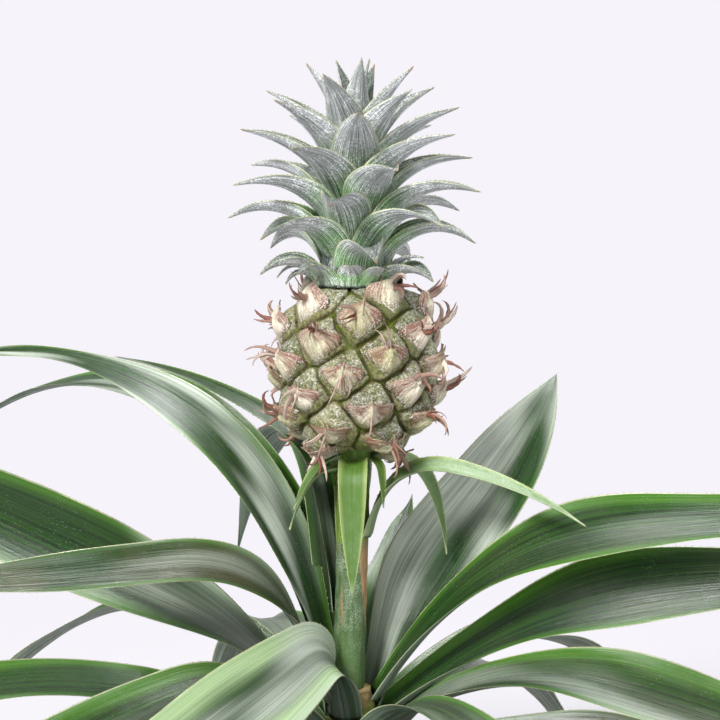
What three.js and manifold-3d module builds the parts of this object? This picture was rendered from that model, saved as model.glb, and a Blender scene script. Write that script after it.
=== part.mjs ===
// A potted pineapple plant, in millimetres, +Z up, with the origin at the centre of the pot's underside.
//
// A short stout stem stands in a pot of soil. Long channelled leaves clasp it in a spiral, the youngest
// and most upright at the top. A stalk rises from the middle and carries a few narrow leaves, a small
// fruit covered with eyes, and a crown of short stiff leaves. From the front, +X is right and +Y is away.
import * as THREE from "three";
import { mergeVertices } from "three/addons/utils/BufferGeometryUtils.js";
import Module from "manifold-3d";

const wasm = await Module();
wasm.setup();

const GAP = 0.3; // clearance between pieces that touch
const SLIVER = 0.02; // edges shorter than this are collapsed after a cut
const SPIRAL = -137.5; // degrees from one leaf or eye to the next, looking down

const POT = {
  height: 104,
  baseRadius: 42,
  neckRadius: 55,
  rimRadius: 60,
  rimDepth: 22,
  wall: 4,
  floor: 6,
  edge: 2,
  holeRadius: 5,
  holeRing: 26,
  holes: 5,
};
const SOIL = { top: 90, relief: 1, hole: 17 };
const STEM = { foot: 62, waist: 96, footRadius: 12, waistRadius: 16.4, top: 136, topRadius: 7.2 };
const STALK = { top: 232, radius: 6.2, lean: 2.5 };
const FRUIT = {
  foot: 232.4,
  height: 61,
  radius: 26.5,
  squareness: 2.6,
  lean: 2,
  eyes: 40,
  eyeRise: 4,
  eyeReach: 10,
  grooveWidth: 5,
  firstTurn: 352,
};
const WISP = { shortest: 8, longest: 13, footRadius: 1.5, endRadius: 0.8, sunk: 1.2, steps: 3 };
const CROWN = {
  foot: 293.8,
  height: 56,
  footRadius: 15.5,
  topRadius: 2.5,
  lean: 1,
  leaves: 40,
  firstTurn: 330.5,
};
const TIP_THICKNESS = 0.8; // of every blade
const WAVE = { turns: 17, skew: 1.3 }; // of a rosette leaf's margins, in radians along and across it

const radians = THREE.MathUtils.degToRad;
const lerp = THREE.MathUtils.lerp;
const smoothstep = THREE.MathUtils.smoothstep;

// A repeatable number from 0 to 1 for a counted thing.
function chance(count, salt) {
  const x = Math.sin(count * 12.9898 + salt * 78.233) * 43758.5453;
  return x - Math.floor(x);
}

// ---- Solids ----

function solidOf(geometry) {
  const bare = geometry.index ? geometry.toNonIndexed() : geometry.clone();
  bare.deleteAttribute("normal");
  bare.deleteAttribute("uv");
  const merged = mergeVertices(bare, 1e-4);
  return new wasm.Manifold(
    new wasm.Mesh({
      numProp: 3,
      vertProperties: new Float32Array(merged.attributes.position.array),
      triVerts: new Uint32Array(merged.index.array),
    }),
  );
}

// The largest body of a solid, without loose scraps and slivers and with any sealed hollow filled.
function largest(solid) {
  const bodies = solid.decompose();
  return bodies.reduce((best, body) => (body.volume() > best.volume() ? body : best)).simplify(SLIVER);
}

function fuse(geometries) {
  return geometryOf(largest(wasm.Manifold.union(geometries.map(solidOf))));
}

function cut(geometry, tools) {
  return geometryOf(largest(solidOf(geometry).subtract(wasm.Manifold.union(tools.map(solidOf)))));
}

function geometryOf(solid) {
  const mesh = solid.getMesh();
  const geometry = new THREE.BufferGeometry();
  const points = new Float32Array(mesh.numVert * 3);
  for (let i = 0; i < mesh.numVert; i++)
    for (let k = 0; k < 3; k++) points[i * 3 + k] = mesh.vertProperties[i * mesh.numProp + k];
  geometry.setAttribute("position", new THREE.BufferAttribute(points, 3));
  geometry.setIndex(new THREE.BufferAttribute(mesh.triVerts, 1));
  geometry.computeVertexNormals();
  return geometry;
}

function geometryFrom(points, triangles) {
  const geometry = new THREE.BufferGeometry();
  geometry.setAttribute("position", new THREE.Float32BufferAttribute(points.flatMap((p) => p.toArray()), 3));
  geometry.setIndex(triangles.flat());
  geometry.computeVertexNormals();
  return geometry;
}

function lathe(profile, sides) {
  const points = profile.map(([radius, height]) => new THREE.Vector2(radius, height));
  return new THREE.LatheGeometry(points, sides).rotateX(Math.PI / 2);
}

// ---- Blades ----

// The line that a blade follows, as stations with a place, the way it runs, its side and the normal of its
// upper face.
function spine(blade, count) {
  const { foot, turn, rise, run, fall, knee, length, sweep = 0, roll = 0, rolled = 0.5 } = blade;
  const place = foot.clone();
  const stations = [];
  const headingAt = (s) => {
    const slope = radians(rise + (run - rise) * smoothstep(s, ...knee) + (fall - run) * s);
    const plan = radians(turn + sweep * s);
    const along = new THREE.Vector3(
      Math.cos(slope) * Math.cos(plan),
      Math.cos(slope) * Math.sin(plan),
      Math.sin(slope),
    );
    const side = new THREE.Vector3(-Math.sin(plan), Math.cos(plan), 0);
    return { along, side };
  };
  for (let i = 0; i <= count; i++) {
    const s = i / count;
    const { along, side } = headingAt(s);
    side.applyAxisAngle(along, radians(roll) * smoothstep(s, 0, rolled));
    const up = new THREE.Vector3().crossVectors(along, side);
    stations.push({ s, place: place.clone(), along, side, up });
    place.addScaledVector(headingAt(s + 0.5 / count).along, length / count);
  }
  return stations;
}

// Half the width of a blade at s from 0 at the foot to 1 at the tip.
function halfWidth(blade, s) {
  const spread = lerp(blade.footHalf, blade.width / 2, smoothstep(s, 0, 0.4));
  return spread * Math.pow(1 - Math.pow(s, blade.point ?? 2.4), 1.1);
}

// A closed channelled blade: a ring of points at each station, then one point at the tip.
function bladeGeometry(blade, count, across) {
  const points = [];
  const triangles = [];
  const columns = across.length;
  const ring = 2 * columns - 2; // both edges are shared by the two faces
  for (const { s, place, side, up } of spine(blade, count).slice(0, -1)) {
    const half = halfWidth(blade, s);
    const channel = lerp(blade.footChannel, blade.channel, smoothstep(s, 0, 0.2));
    const thick = lerp(blade.thick, TIP_THICKNESS, s);
    const at = (u, face) => {
      const ruffle = (blade.ruffle ?? 0) * u * u * smoothstep(s, 0.1, 0.3);
      const wave = ruffle * Math.sin(s * WAVE.turns + u * WAVE.skew);
      const raise = (half * (1 - Math.cos(channel * u))) / channel + wave;
      return place
        .clone()
        .addScaledVector(side, (half * Math.sin(channel * u)) / channel)
        .addScaledVector(up, raise + (face * thick * (1 - u * u)) / 2);
    };
    across.forEach((u) => points.push(at(u, 1)));
    across.slice(1, -1).forEach((u) => points.push(at(u, -1)));
  }
  const tip = points.push(spine(blade, count)[count].place) - 1;
  // Column j of the upper face, or of the lower face, in ring i.
  const upper = (i, j) => i * ring + j;
  const lower = (i, j) => i * ring + (j === 0 || j === columns - 1 ? j : columns - 1 + j);
  for (let i = 0; i < count; i++)
    for (let j = 0; j < columns - 1; j++) {
      if (i === count - 1) {
        triangles.push([upper(i, j), tip, upper(i, j + 1)], [lower(i, j), lower(i, j + 1), tip]);
        continue;
      }
      triangles.push([upper(i, j), upper(i + 1, j), upper(i + 1, j + 1)]);
      triangles.push([upper(i, j), upper(i + 1, j + 1), upper(i, j + 1)]);
      triangles.push([lower(i, j), lower(i + 1, j + 1), lower(i + 1, j)]);
      triangles.push([lower(i, j), lower(i, j + 1), lower(i + 1, j + 1)]);
    }
  for (let j = 0; j < columns - 1; j++) {
    if (upper(0, j) !== lower(0, j)) triangles.push([upper(0, j), upper(0, j + 1), lower(0, j)]);
    if (upper(0, j + 1) !== lower(0, j + 1)) triangles.push([upper(0, j + 1), lower(0, j + 1), lower(0, j)]);
  }
  return geometryFrom(points, triangles);
}

// ---- Rosette ----

// One row for each leaf, from the youngest at the top of the stem to the oldest at the soil, in degrees and
// mm. turn is where it points in plan. It starts at the slope rise, bends between the two shares of its
// length in knee towards the slope run, and nears the slope fall at its tip. sweep is its bend in plan, and
// roll the turn of its face about its own line, which is complete at the share rolled of its length. point
// is low for a leaf that narrows early.
const ROSETTE = [
  {
    turn: 163,
    rise: 80,
    run: 20,
    fall: -5,
    knee: [0, 1],
    length: 240,
    width: 37,
    sweep: -8,
    roll: -24,
    point: 1.9,
  },
  { turn: 4, rise: 57.5, run: 12, fall: -2, knee: [0, 0.5], length: 280, width: 38, sweep: -8, roll: 34 },
  {
    turn: 214,
    rise: 66,
    run: -1,
    fall: 6,
    knee: [0.08, 0.42],
    length: 264,
    width: 35,
    roll: -42,
    rolled: 0.3,
    point: 1.1,
  },
  {
    turn: 107,
    rise: 79,
    run: -65,
    fall: -65,
    knee: [0.18, 0.9],
    length: 225,
    width: 30,
    sweep: 14,
    roll: 10,
  },
  {
    turn: 33,
    rise: 68,
    run: 25,
    fall: 52,
    knee: [0, 0.6],
    length: 163,
    width: 39,
    sweep: 11,
    roll: 42,
    rolled: 0.4,
    point: 5,
  },
  {
    turn: 247,
    rise: 78,
    run: -10,
    fall: -36,
    knee: [0.06, 0.2],
    length: 250,
    width: 42,
    sweep: -58,
    roll: -52,
    rolled: 0.12,
  },
  { turn: 139, rise: 84, run: 31, fall: -38, knee: [0, 0.9], length: 305, width: 34, sweep: 14, roll: -15 },
  { turn: 15, rise: 36, run: 17, fall: -12, knee: [0, 0.5], length: 290, width: 44, sweep: -10, roll: 40 },
  { turn: 71, rise: 68, run: 37, fall: 20, knee: [0, 0.6], length: 124, width: 30, sweep: 9, point: 1.8 },
  { turn: 346, rise: 34, run: -5, fall: -26, knee: [0.02, 0.4], length: 280, width: 36, roll: 35 },
  { turn: 187, rise: 54, run: 28, fall: 26, knee: [0.04, 0.3], length: 290, width: 47, roll: -50 },
  { turn: 305, rise: 50, run: -2, fall: -50, knee: [0, 0.3], length: 240, width: 28, sweep: 3 },
  { turn: 275, rise: 24, run: 0, fall: -50, knee: [0, 0.6], length: 250, width: 34 },
  { turn: 152, rise: 55, run: 14, fall: -60, knee: [0, 0.6], length: 240, width: 32 },
  { turn: 44, rise: 36, run: 8, fall: -56, knee: [0, 0.6], length: 240, width: 34 },
  {
    turn: 222,
    rise: 54,
    run: -4,
    fall: -26,
    knee: [0.04, 0.3],
    length: 280,
    width: 38,
    sweep: -12,
    roll: -40,
  },
  { turn: 110, rise: 38, run: 10, fall: -60, knee: [0, 0.6], length: 250, width: 34 },
  { turn: 299, rise: 19, run: 0, fall: -50, knee: [0, 0.6], length: 250, width: 34 },
  { turn: 178, rise: 28, run: 0, fall: -24, knee: [0, 0.6], length: 280, width: 34, roll: -20 },
  { turn: 60, rise: 24, run: 0, fall: -50, knee: [0, 0.6], length: 250, width: 34 },
  { turn: 262, rise: 18, run: 0, fall: -45, knee: [0, 0.6], length: 240, width: 33 },
  { turn: 108, rise: 16, run: 0, fall: -50, knee: [0, 0.6], length: 250, width: 34 },
  { turn: 12, rise: 17, run: 0, fall: -45, knee: [0, 0.6], length: 250, width: 33, roll: 10 },
  { turn: 229, rise: 16, run: -5, fall: -50, knee: [0, 0.6], length: 240, width: 32 },
];
const ROSETTE_TOP = 132; // height of the youngest leaf's foot
const ROSETTE_FOOT = 100; // height of the oldest leaf's foot

function stemRadius(height) {
  return lerp(STEM.waistRadius, STEM.topRadius, (height - STEM.waist) / (STEM.top - STEM.waist));
}

function rosetteBlade(row, index) {
  const height = lerp(ROSETTE_TOP, ROSETTE_FOOT, index / (ROSETTE.length - 1));
  const thick = 2;
  const clasp = stemRadius(height) + GAP + thick / 2;
  const plan = radians(row.turn);
  return {
    foot: new THREE.Vector3(clasp * Math.cos(plan), clasp * Math.sin(plan), height),
    footHalf: clasp * 0.8,
    footChannel: 1.0,
    channel: 0.5,
    thick,
    ruffle: 1.2,
    ...row,
  };
}

function rosetteLeaf(blade) {
  return bladeGeometry(blade, 11, [-1, -0.5, 0, 0.5, 1]);
}

// What a leaf fills with the clearance round it: a wider and thicker copy, as it is and shifted each way.
function envelopes(blade) {
  const { along } = spine(blade, 1)[0];
  const wider = rosetteLeaf({
    ...blade,
    foot: blade.foot.clone().addScaledVector(along, -GAP),
    footHalf: blade.footHalf + GAP,
    width: blade.width + 2 * GAP,
    thick: blade.thick + 2 * GAP,
    length: blade.length + 2 * GAP,
  });
  const shifts = [-GAP, GAP].flatMap((by) => [[by, 0, 0], [0, by, 0], [0, 0, by]]);
  return [wider, ...shifts.map((shift) => wider.clone().translate(...shift))];
}

// A leaf with what the younger ones need cut out of it.
function clearOf(geometry, neighbours) {
  const leaf = solidOf(geometry);
  const crossing = neighbours.filter((other) => leaf.intersect(solidOf(other)).volume() > 0);
  return crossing.length ? cut(geometry, crossing) : geometry;
}

// ---- Stalk, and the narrow leaves on it ----

// Rows as in ROSETTE, with the height of the foot. The first three are long leaves on the stalk, the others
// hang from just under the fruit.
const STALK_LEAVES = [
  {
    turn: 146,
    height: 166,
    rise: 88,
    run: 42,
    fall: 4,
    knee: [0.28, 0.46],
    length: 172,
    width: 13,
    roll: -25,
  },
  {
    turn: 353,
    height: 196,
    rise: 78,
    run: 8,
    fall: -34,
    knee: [0.05, 0.5],
    length: 104,
    width: 15,
    roll: 20,
  },
  { turn: 102, height: 184, rise: 84, run: 30, fall: 36, knee: [0.1, 0.45], length: 125, width: 11 },
  { turn: 268, height: 226, rise: 10, run: -80, fall: -88, knee: [0, 0.3], length: 58, width: 12 },
  { turn: 204, height: 227, rise: 0, run: -40, fall: -65, knee: [0, 0.4], length: 28, width: 9 },
  { turn: 322, height: 227, rise: 0, run: -78, fall: -86, knee: [0, 0.4], length: 22, width: 6 },
  { turn: 22, height: 226, rise: 5, run: -50, fall: -84, knee: [0, 0.6], length: 60, width: 12, roll: 50 },
  { turn: 186, height: 222, rise: 0, run: -45, fall: -75, knee: [0, 0.4], length: 32, width: 7 },
  { turn: 80, height: 227, rise: 0, run: -60, fall: -80, knee: [0, 0.4], length: 34, width: 9 },
];

function stalkCentre(height) {
  const s = (height - STEM.top) / (STALK.top - STEM.top);
  return new THREE.Vector3(STALK.lean * (s - 1) + 1, 0, height);
}

function stalkGeometry() {
  const line = new THREE.LineCurve3(stalkCentre(STEM.top + GAP), stalkCentre(STALK.top));
  const section = new THREE.Shape().absarc(0, 0, STALK.radius, 0, 2 * Math.PI);
  return new THREE.ExtrudeGeometry(section, { steps: 1, curveSegments: 8, extrudePath: line });
}

function stalkBlade(row) {
  const thick = 1;
  const clasp = STALK.radius + 2 * GAP + (thick / 2) * Math.sin(radians(row.rise));
  const plan = radians(row.turn);
  const outward = new THREE.Vector3(Math.cos(plan), Math.sin(plan), 0);
  return {
    foot: stalkCentre(row.height).addScaledVector(outward, clasp),
    footHalf: Math.min(clasp * 0.9, row.width / 2),
    footChannel: 0.9,
    channel: 0.6,
    thick,
    ...row,
  };
}

// ---- Fruit ----

// A point on the plain barrel under the eyes, from its turn round the axis and its place from -1 to 1 up it.
function barrelPoint(turn, rise) {
  const middle = FRUIT.foot + FRUIT.height / 2;
  const share = Math.pow(1 - Math.pow(Math.abs(rise), FRUIT.squareness), 1 / FRUIT.squareness);
  const radius = FRUIT.radius * share;
  return new THREE.Vector3(
    FRUIT.lean + radius * Math.cos(turn),
    radius * Math.sin(turn),
    middle + (rise * FRUIT.height) / 2,
  );
}

function barrelNormal(turn, rise) {
  const step = 0.01;
  const around = barrelPoint(turn + step, rise).sub(barrelPoint(turn - step, rise));
  const low = Math.max(-0.999, rise - step);
  const high = Math.min(0.999, rise + step);
  const upward = barrelPoint(turn, high).sub(barrelPoint(turn, low));
  return around.cross(upward).normalize();
}

const EYES = Array.from({ length: FRUIT.eyes }, (_, i) => {
  const rise = 0.97 * (((i + 0.5) * 2) / FRUIT.eyes - 1);
  const turn = radians(FRUIT.firstTurn + i * SPIRAL);
  return { turn, rise, place: barrelPoint(turn, rise), out: barrelNormal(turn, rise) };
});

// How far the eyes stand out of the barrel at a point: a mound for each, with a groove where two meet.
function eyeRise(point) {
  let nearest = Infinity;
  let second = Infinity;
  for (const eye of EYES) {
    const distance = eye.place.distanceTo(point);
    if (distance < nearest) [nearest, second] = [distance, nearest];
    else if (distance < second) second = distance;
  }
  const mound = 0.5 + 0.5 * Math.max(0, 1 - (nearest / FRUIT.eyeReach) ** 2);
  return FRUIT.eyeRise * mound * smoothstep(second - nearest, 0, FRUIT.grooveWidth);
}

// A closed skin of rings from pole to pole, each point pushed out by the eyes.
function fruitSkin(rings, sides) {
  const points = [barrelPoint(0, -1)];
  for (let i = 1; i < rings; i++)
    for (let j = 0; j < sides; j++) {
      const rise = Math.sin((i / rings - 0.5) * Math.PI);
      const turn = ((j + (i % 2) / 2) / sides) * 2 * Math.PI;
      const point = barrelPoint(turn, rise);
      points.push(point.addScaledVector(barrelNormal(turn, rise), eyeRise(point)));
    }
  const top = points.push(barrelPoint(0, 1)) - 1;
  const at = (i, j) => 1 + (i - 1) * sides + (j % sides);
  const triangles = [];
  for (let j = 0; j < sides; j++) {
    triangles.push([0, at(1, j + 1), at(1, j)], [top, at(rings - 1, j), at(rings - 1, j + 1)]);
    for (let i = 1; i < rings - 1; i++) {
      const [a, b, c, d] = [at(i, j), at(i, j + 1), at(i + 1, j), at(i + 1, j + 1)];
      if (i % 2) triangles.push([a, b, c], [b, d, c]);
      else triangles.push([a, b, d], [a, d, c]);
    }
  }
  return geometryFrom(points, triangles);
}

// The directions that a piece on an eye is laid out by.
function eyeFrame(eye) {
  const side = new THREE.Vector3(-Math.sin(eye.turn), Math.cos(eye.turn), 0);
  const upward = new THREE.Vector3().crossVectors(eye.out, side).normalize();
  return { side, upward };
}

// The pointed scale over the lower half of an eye, as a pyramid sunk into it with its point turned up.
function eyeScale(eye) {
  const { side, upward } = eyeFrame(eye);
  const at = (across, up, out) =>
    eye.place.clone().addScaledVector(side, across).addScaledVector(upward, up).addScaledVector(eye.out, out);
  const point = at(0, 4, FRUIT.eyeRise + 3.4);
  const points = [at(-6.2, 0.5, 1), at(0, -6.5, 1), at(6.2, 0.5, 1), at(0, 2.4, 1.5), point];
  const triangles = [
    [0, 1, 4],
    [1, 2, 4],
    [2, 3, 4],
    [3, 0, 4],
    [0, 3, 2],
    [0, 2, 1],
  ];
  return geometryFrom(points, triangles);
}

// A withered flower: a thin three-sided wisp that grows out of an eye and curls.
function wisp(eye, index) {
  const { side, upward } = eyeFrame(eye);
  const { steps } = WISP;
  const length = lerp(WISP.shortest, WISP.longest, chance(index, 1));
  const curl = lerp(-1.8, 1.4, chance(index, 2));
  const drift = lerp(-0.6, 0.6, chance(index, 3));
  const place = eye.place.clone().addScaledVector(eye.out, FRUIT.eyeRise - WISP.sunk);
  place.addScaledVector(upward, 1.5);
  const points = [];
  for (let i = 0; i < steps; i++) {
    const radius = lerp(WISP.footRadius, WISP.endRadius, i / (steps - 1));
    for (let k = 0; k < 3; k++) {
      const angle = (k * 2 * Math.PI) / 3;
      const [across, up] = [radius * Math.cos(angle), radius * Math.sin(angle)];
      points.push(place.clone().addScaledVector(side, across).addScaledVector(upward, up));
    }
    const s = (i + 0.5) / steps;
    const way = eye.out.clone().addScaledVector(upward, curl * s + 0.3).addScaledVector(side, drift * s);
    place.addScaledVector(way.normalize(), length / steps);
  }
  const tip = points.push(place) - 1;
  const triangles = [[0, 2, 1]];
  for (let k = 0; k < 3; k++) {
    const next = (k + 1) % 3;
    for (let i = 0; i < steps - 1; i++) {
      const low = i * 3;
      triangles.push([low + k, low + next, low + 3 + next], [low + k, low + 3 + next, low + 3 + k]);
    }
    const last = (steps - 1) * 3;
    triangles.push([last + k, last + next, tip]);
  }
  return geometryFrom(points, triangles);
}

function fruitGeometry() {
  const bodies = [fruitSkin(22, 48)];
  EYES.forEach((eye, index) => {
    bodies.push(eyeScale(eye));
    if (Math.abs(eye.rise) < 0.9) bodies.push(wisp(eye, index));
  });
  const depth = 40;
  const socketRadius = STALK.radius + 2 * GAP;
  const socket = new THREE.CylinderGeometry(socketRadius, socketRadius, depth, 16).rotateX(Math.PI / 2);
  const seat = stalkCentre(STALK.top + GAP - depth / 2);
  socket.translate(seat.x, seat.y, seat.z);
  const width = 4 * FRUIT.radius;
  const lid = new THREE.BoxGeometry(width, width, depth).translate(0, 0, CROWN.foot - GAP + depth / 2);
  return cut(fuse(bodies), [socket, lid]);
}

// ---- Crown ----

// How the crown's leaves change from its foot to its tip: slopes in degrees, sizes in mm.
const CROWN_STAGES = [
  { t: 0, rise: 62, fall: -38, length: 24, width: 24 },
  { t: 0.1, rise: 57, fall: -36, length: 38, width: 26 },
  { t: 0.2, rise: 54, fall: -26, length: 44, width: 27 },
  { t: 0.4, rise: 57, fall: -6, length: 47, width: 28 },
  { t: 0.6, rise: 61, fall: 17, length: 48, width: 28 },
  { t: 0.8, rise: 64, fall: 28, length: 46, width: 25 },
  { t: 1, rise: 85, fall: 78, length: 32, width: 18 },
];

function crownStage(t) {
  const above = CROWN_STAGES.findIndex((stage, i) => i > 0 && stage.t >= t);
  const [low, high] = [CROWN_STAGES[above - 1], CROWN_STAGES[above]];
  const share = (t - low.t) / (high.t - low.t);
  const mixed = { ...low };
  for (const key of Object.keys(low)) mixed[key] = lerp(low[key], high[key], share);
  return mixed;
}

function crownBlade(index) {
  const stage = crownStage(index / (CROWN.leaves - 1));
  const turn = CROWN.firstTurn + index * SPIRAL;
  const inside = lerp(CROWN.footRadius, CROWN.topRadius, stage.t) - 1.5;
  const sunk = 4.5 * (1 - smoothstep(stage.t, 0, 0.15));
  const height = CROWN.foot + 2.5 + (CROWN.height - 4) * stage.t - sunk;
  const plan = radians(turn);
  return {
    ...stage,
    turn,
    foot: new THREE.Vector3(CROWN.lean + inside * Math.cos(plan), inside * Math.sin(plan), height),
    run: lerp(stage.rise, stage.fall, 0.35),
    knee: [0.1, 0.9],
    footHalf: lerp(0.9 * inside, stage.width * 0.42, stage.t),
    footChannel: 1,
    channel: 1.1,
    thick: 1.4,
    point: 1.7,
  };
}

function crownGeometry() {
  const { foot, height, footRadius, topRadius } = CROWN;
  const core = lathe([[0, foot], [footRadius, foot], [topRadius, foot + height], [0, foot + height]], 12);
  core.translate(CROWN.lean, 0, 0);
  const bodies = [core];
  for (let i = 0; i < CROWN.leaves; i++) bodies.push(bladeGeometry(crownBlade(i), 5, [-1, 0, 1]));
  const [width, depth] = [140, 40];
  const below = new THREE.BoxGeometry(width, width, depth).translate(0, 0, foot - depth / 2);
  return cut(fuse(bodies), [below]);
}

// ---- Pot and soil ----

// The radius of the pot's inside, which widens evenly from the floor to the rim.
function potInside(height) {
  const { baseRadius, neckRadius, rimDepth, wall, floor } = POT;
  const widening = (neckRadius - baseRadius) / (POT.height - rimDepth - floor);
  return baseRadius - wall + widening * (height - floor);
}

function potGeometry() {
  const { height, baseRadius, neckRadius, rimRadius, rimDepth, floor, edge } = POT;
  const shell = lathe(
    [
      [0, 0],
      [baseRadius - edge, 0],
      [baseRadius, edge],
      [neckRadius, height - rimDepth],
      [rimRadius - edge, height - rimDepth],
      [rimRadius - edge / 2, height - rimDepth + edge],
      [rimRadius, height - edge],
      [rimRadius - edge, height],
      [potInside(height), height],
      [potInside(floor), floor],
      [0, floor],
    ],
    40,
  );
  const drills = Array.from({ length: POT.holes }, (_, i) => {
    const turn = ((i + 0.5) * 2 * Math.PI) / POT.holes;
    const drill = new THREE.CylinderGeometry(POT.holeRadius, POT.holeRadius, floor * 3, 12).rotateX(Math.PI / 2);
    return drill.translate(POT.holeRing * Math.cos(turn), POT.holeRing * Math.sin(turn), 0);
  });
  return cut(shell, drills);
}

// Small lumps on the top of the soil.
function soilLump(x, y) {
  return Math.sin(x * 0.31 + 1) * Math.cos(y * 0.37) + 0.6 * Math.sin(x * 0.83 + y * 0.59);
}

function soilGeometry() {
  const bed = POT.floor + GAP;
  const brim = potInside(SOIL.top) - 2.5 * GAP;
  const across = (share) => [lerp(SOIL.hole, brim, share), SOIL.top];
  const profile = [
    [0, bed],
    [potInside(bed) - 1.5 * GAP, bed],
    [brim, SOIL.top - 3],
    across(0.97),
    across(0.78),
    across(0.56),
    across(0.3),
    across(0),
    [SOIL.hole, STEM.foot - GAP],
    [0, STEM.foot - GAP],
  ];
  const soil = lathe(profile, 26);
  const places = soil.attributes.position;
  for (let i = 0; i < places.count; i++) {
    const [x, y, z] = [places.getX(i), places.getY(i), places.getZ(i)];
    if (z > SOIL.top - 1) places.setZ(i, z + SOIL.relief * soilLump(x, y));
  }
  return soil;
}

function stemGeometry() {
  const { foot, footRadius, waist, waistRadius, top, topRadius } = STEM;
  const profile = [
    [0, foot],
    [footRadius, foot],
    [waistRadius, lerp(foot, waist, 0.6)],
    [waistRadius, waist],
    [topRadius, top],
    [0, top],
  ];
  return lathe(profile, 20);
}

// ---- The plant ----

const plant = new THREE.Group();

function add(name, geometry, colour, roughness) {
  const mesh = new THREE.Mesh(geometry, new THREE.MeshStandardMaterial({ color: colour, roughness, metalness: 0 }));
  mesh.name = name;
  plant.add(mesh);
}

const numbered = (word, index) => word + "_" + String(index + 1).padStart(2, "0");

add("pot", potGeometry(), 0xb5623c, 0.85);
add("soil", soilGeometry(), 0x33261d, 0.95);
add("stem", stemGeometry(), 0x8d9a5c, 0.6);
const younger = [];
ROSETTE.forEach((row, index) => {
  const blade = rosetteBlade(row, index);
  add(numbered("leaf", index), clearOf(rosetteLeaf(blade), younger), 0x3f6b3a, 0.45);
  younger.push(...envelopes(blade));
});
add("stalk", stalkGeometry(), 0x6f8f55, 0.55);
STALK_LEAVES.forEach((row, index) => {
  add(numbered("stalk_leaf", index), bladeGeometry(stalkBlade(row), 8, [-1, 0, 1]), 0x7fa050, 0.5);
});
add("fruit", fruitGeometry(), 0x9a9465, 0.7);
add("crown", crownGeometry(), 0x7d9480, 0.6);

export default plant;
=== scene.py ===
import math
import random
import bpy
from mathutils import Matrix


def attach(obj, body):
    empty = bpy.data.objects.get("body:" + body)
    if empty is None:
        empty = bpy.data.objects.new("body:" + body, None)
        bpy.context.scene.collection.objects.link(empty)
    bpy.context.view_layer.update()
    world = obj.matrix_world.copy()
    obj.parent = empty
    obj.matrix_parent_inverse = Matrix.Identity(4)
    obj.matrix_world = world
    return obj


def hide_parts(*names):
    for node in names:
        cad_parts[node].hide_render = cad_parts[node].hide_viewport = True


bl_info = {
    "name": "Potted Pineapple Plant",
    "version": (1, 0, 0),
    "blender": (4, 5, 0),
    "location": "3D View > Sidebar > Pineapple",
    "description": "Makes a potted pineapple plant with its fruit and crown, and the studio it stands in",
    "category": "Object",
}

import bmesh
import bpy
from mathutils import Matrix, Quaternion, Vector, noise
from mathutils.bvhtree import BVHTree
from mathutils.kdtree import KDTree

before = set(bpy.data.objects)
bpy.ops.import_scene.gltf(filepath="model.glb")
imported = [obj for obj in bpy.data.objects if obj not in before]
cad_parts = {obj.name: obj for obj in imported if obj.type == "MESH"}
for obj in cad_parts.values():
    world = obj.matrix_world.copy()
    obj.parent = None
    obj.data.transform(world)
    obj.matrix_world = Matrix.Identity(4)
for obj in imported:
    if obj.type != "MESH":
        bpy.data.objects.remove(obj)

MM = 0.001
SPIRAL = -137.5  # degrees from one leaf or eye to the next, looking down

# The sizes of the plant in millimetres, as the solids have them.
POT = dict(height=104, base=42, neck=55, rim=60, rim_depth=22, wall=4, floor=6, hole=5, hole_ring=26, holes=5)
SOIL = dict(bed=6.3, top=90, relief=1, hole=17)
STEM = dict(foot=62, waist=96, foot_radius=12, waist_radius=16.4, top=136, top_radius=7.2)
STALK = dict(foot=136.3, top=232, radius=6.2, lean=2.5)
FRUIT = dict(foot=232.4, height=61, radius=26.5, squareness=2.6, lean=2, eyes=40, first_turn=352, seed=5)
EYE = dict(rise=4, reach=10, groove=1.9, corner=8.8, sepals=6.6)
CROWN = dict(foot=293.8, height=56, foot_radius=15.5, top_radius=2.5, lean=1, leaves=40, scales=11, first_turn=330.5)
TIP_THICKNESS = 0.8
LEAF_GLOSS = 0.38
WAVE = dict(turns=17, skew=1.3)

# How many steps a blade's mesh has along it and round it.
ROSETTE_STEPS = (96, 24)
STALK_LEAF_STEPS = (64, 18)
CROWN_STEPS = (34, 18)


def leaf_row(turn, slopes, length, width, tone, knee=(0, 0.6), **more):
    """What tells one leaf from another. slopes is how steep it runs at its foot, past its knee and at its tip, and
    knee is where along it the first slope turns into the second. tone is how silvery, how olive and how pale at
    its margins it is; on a rosette leaf the silver share also sets how much painted highlight the upper face has."""
    rise, run, fall = slopes
    return dict(more, turn=turn, rise=rise, run=run, fall=fall, knee=knee, length=length, width=width, tone=tone)


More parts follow.
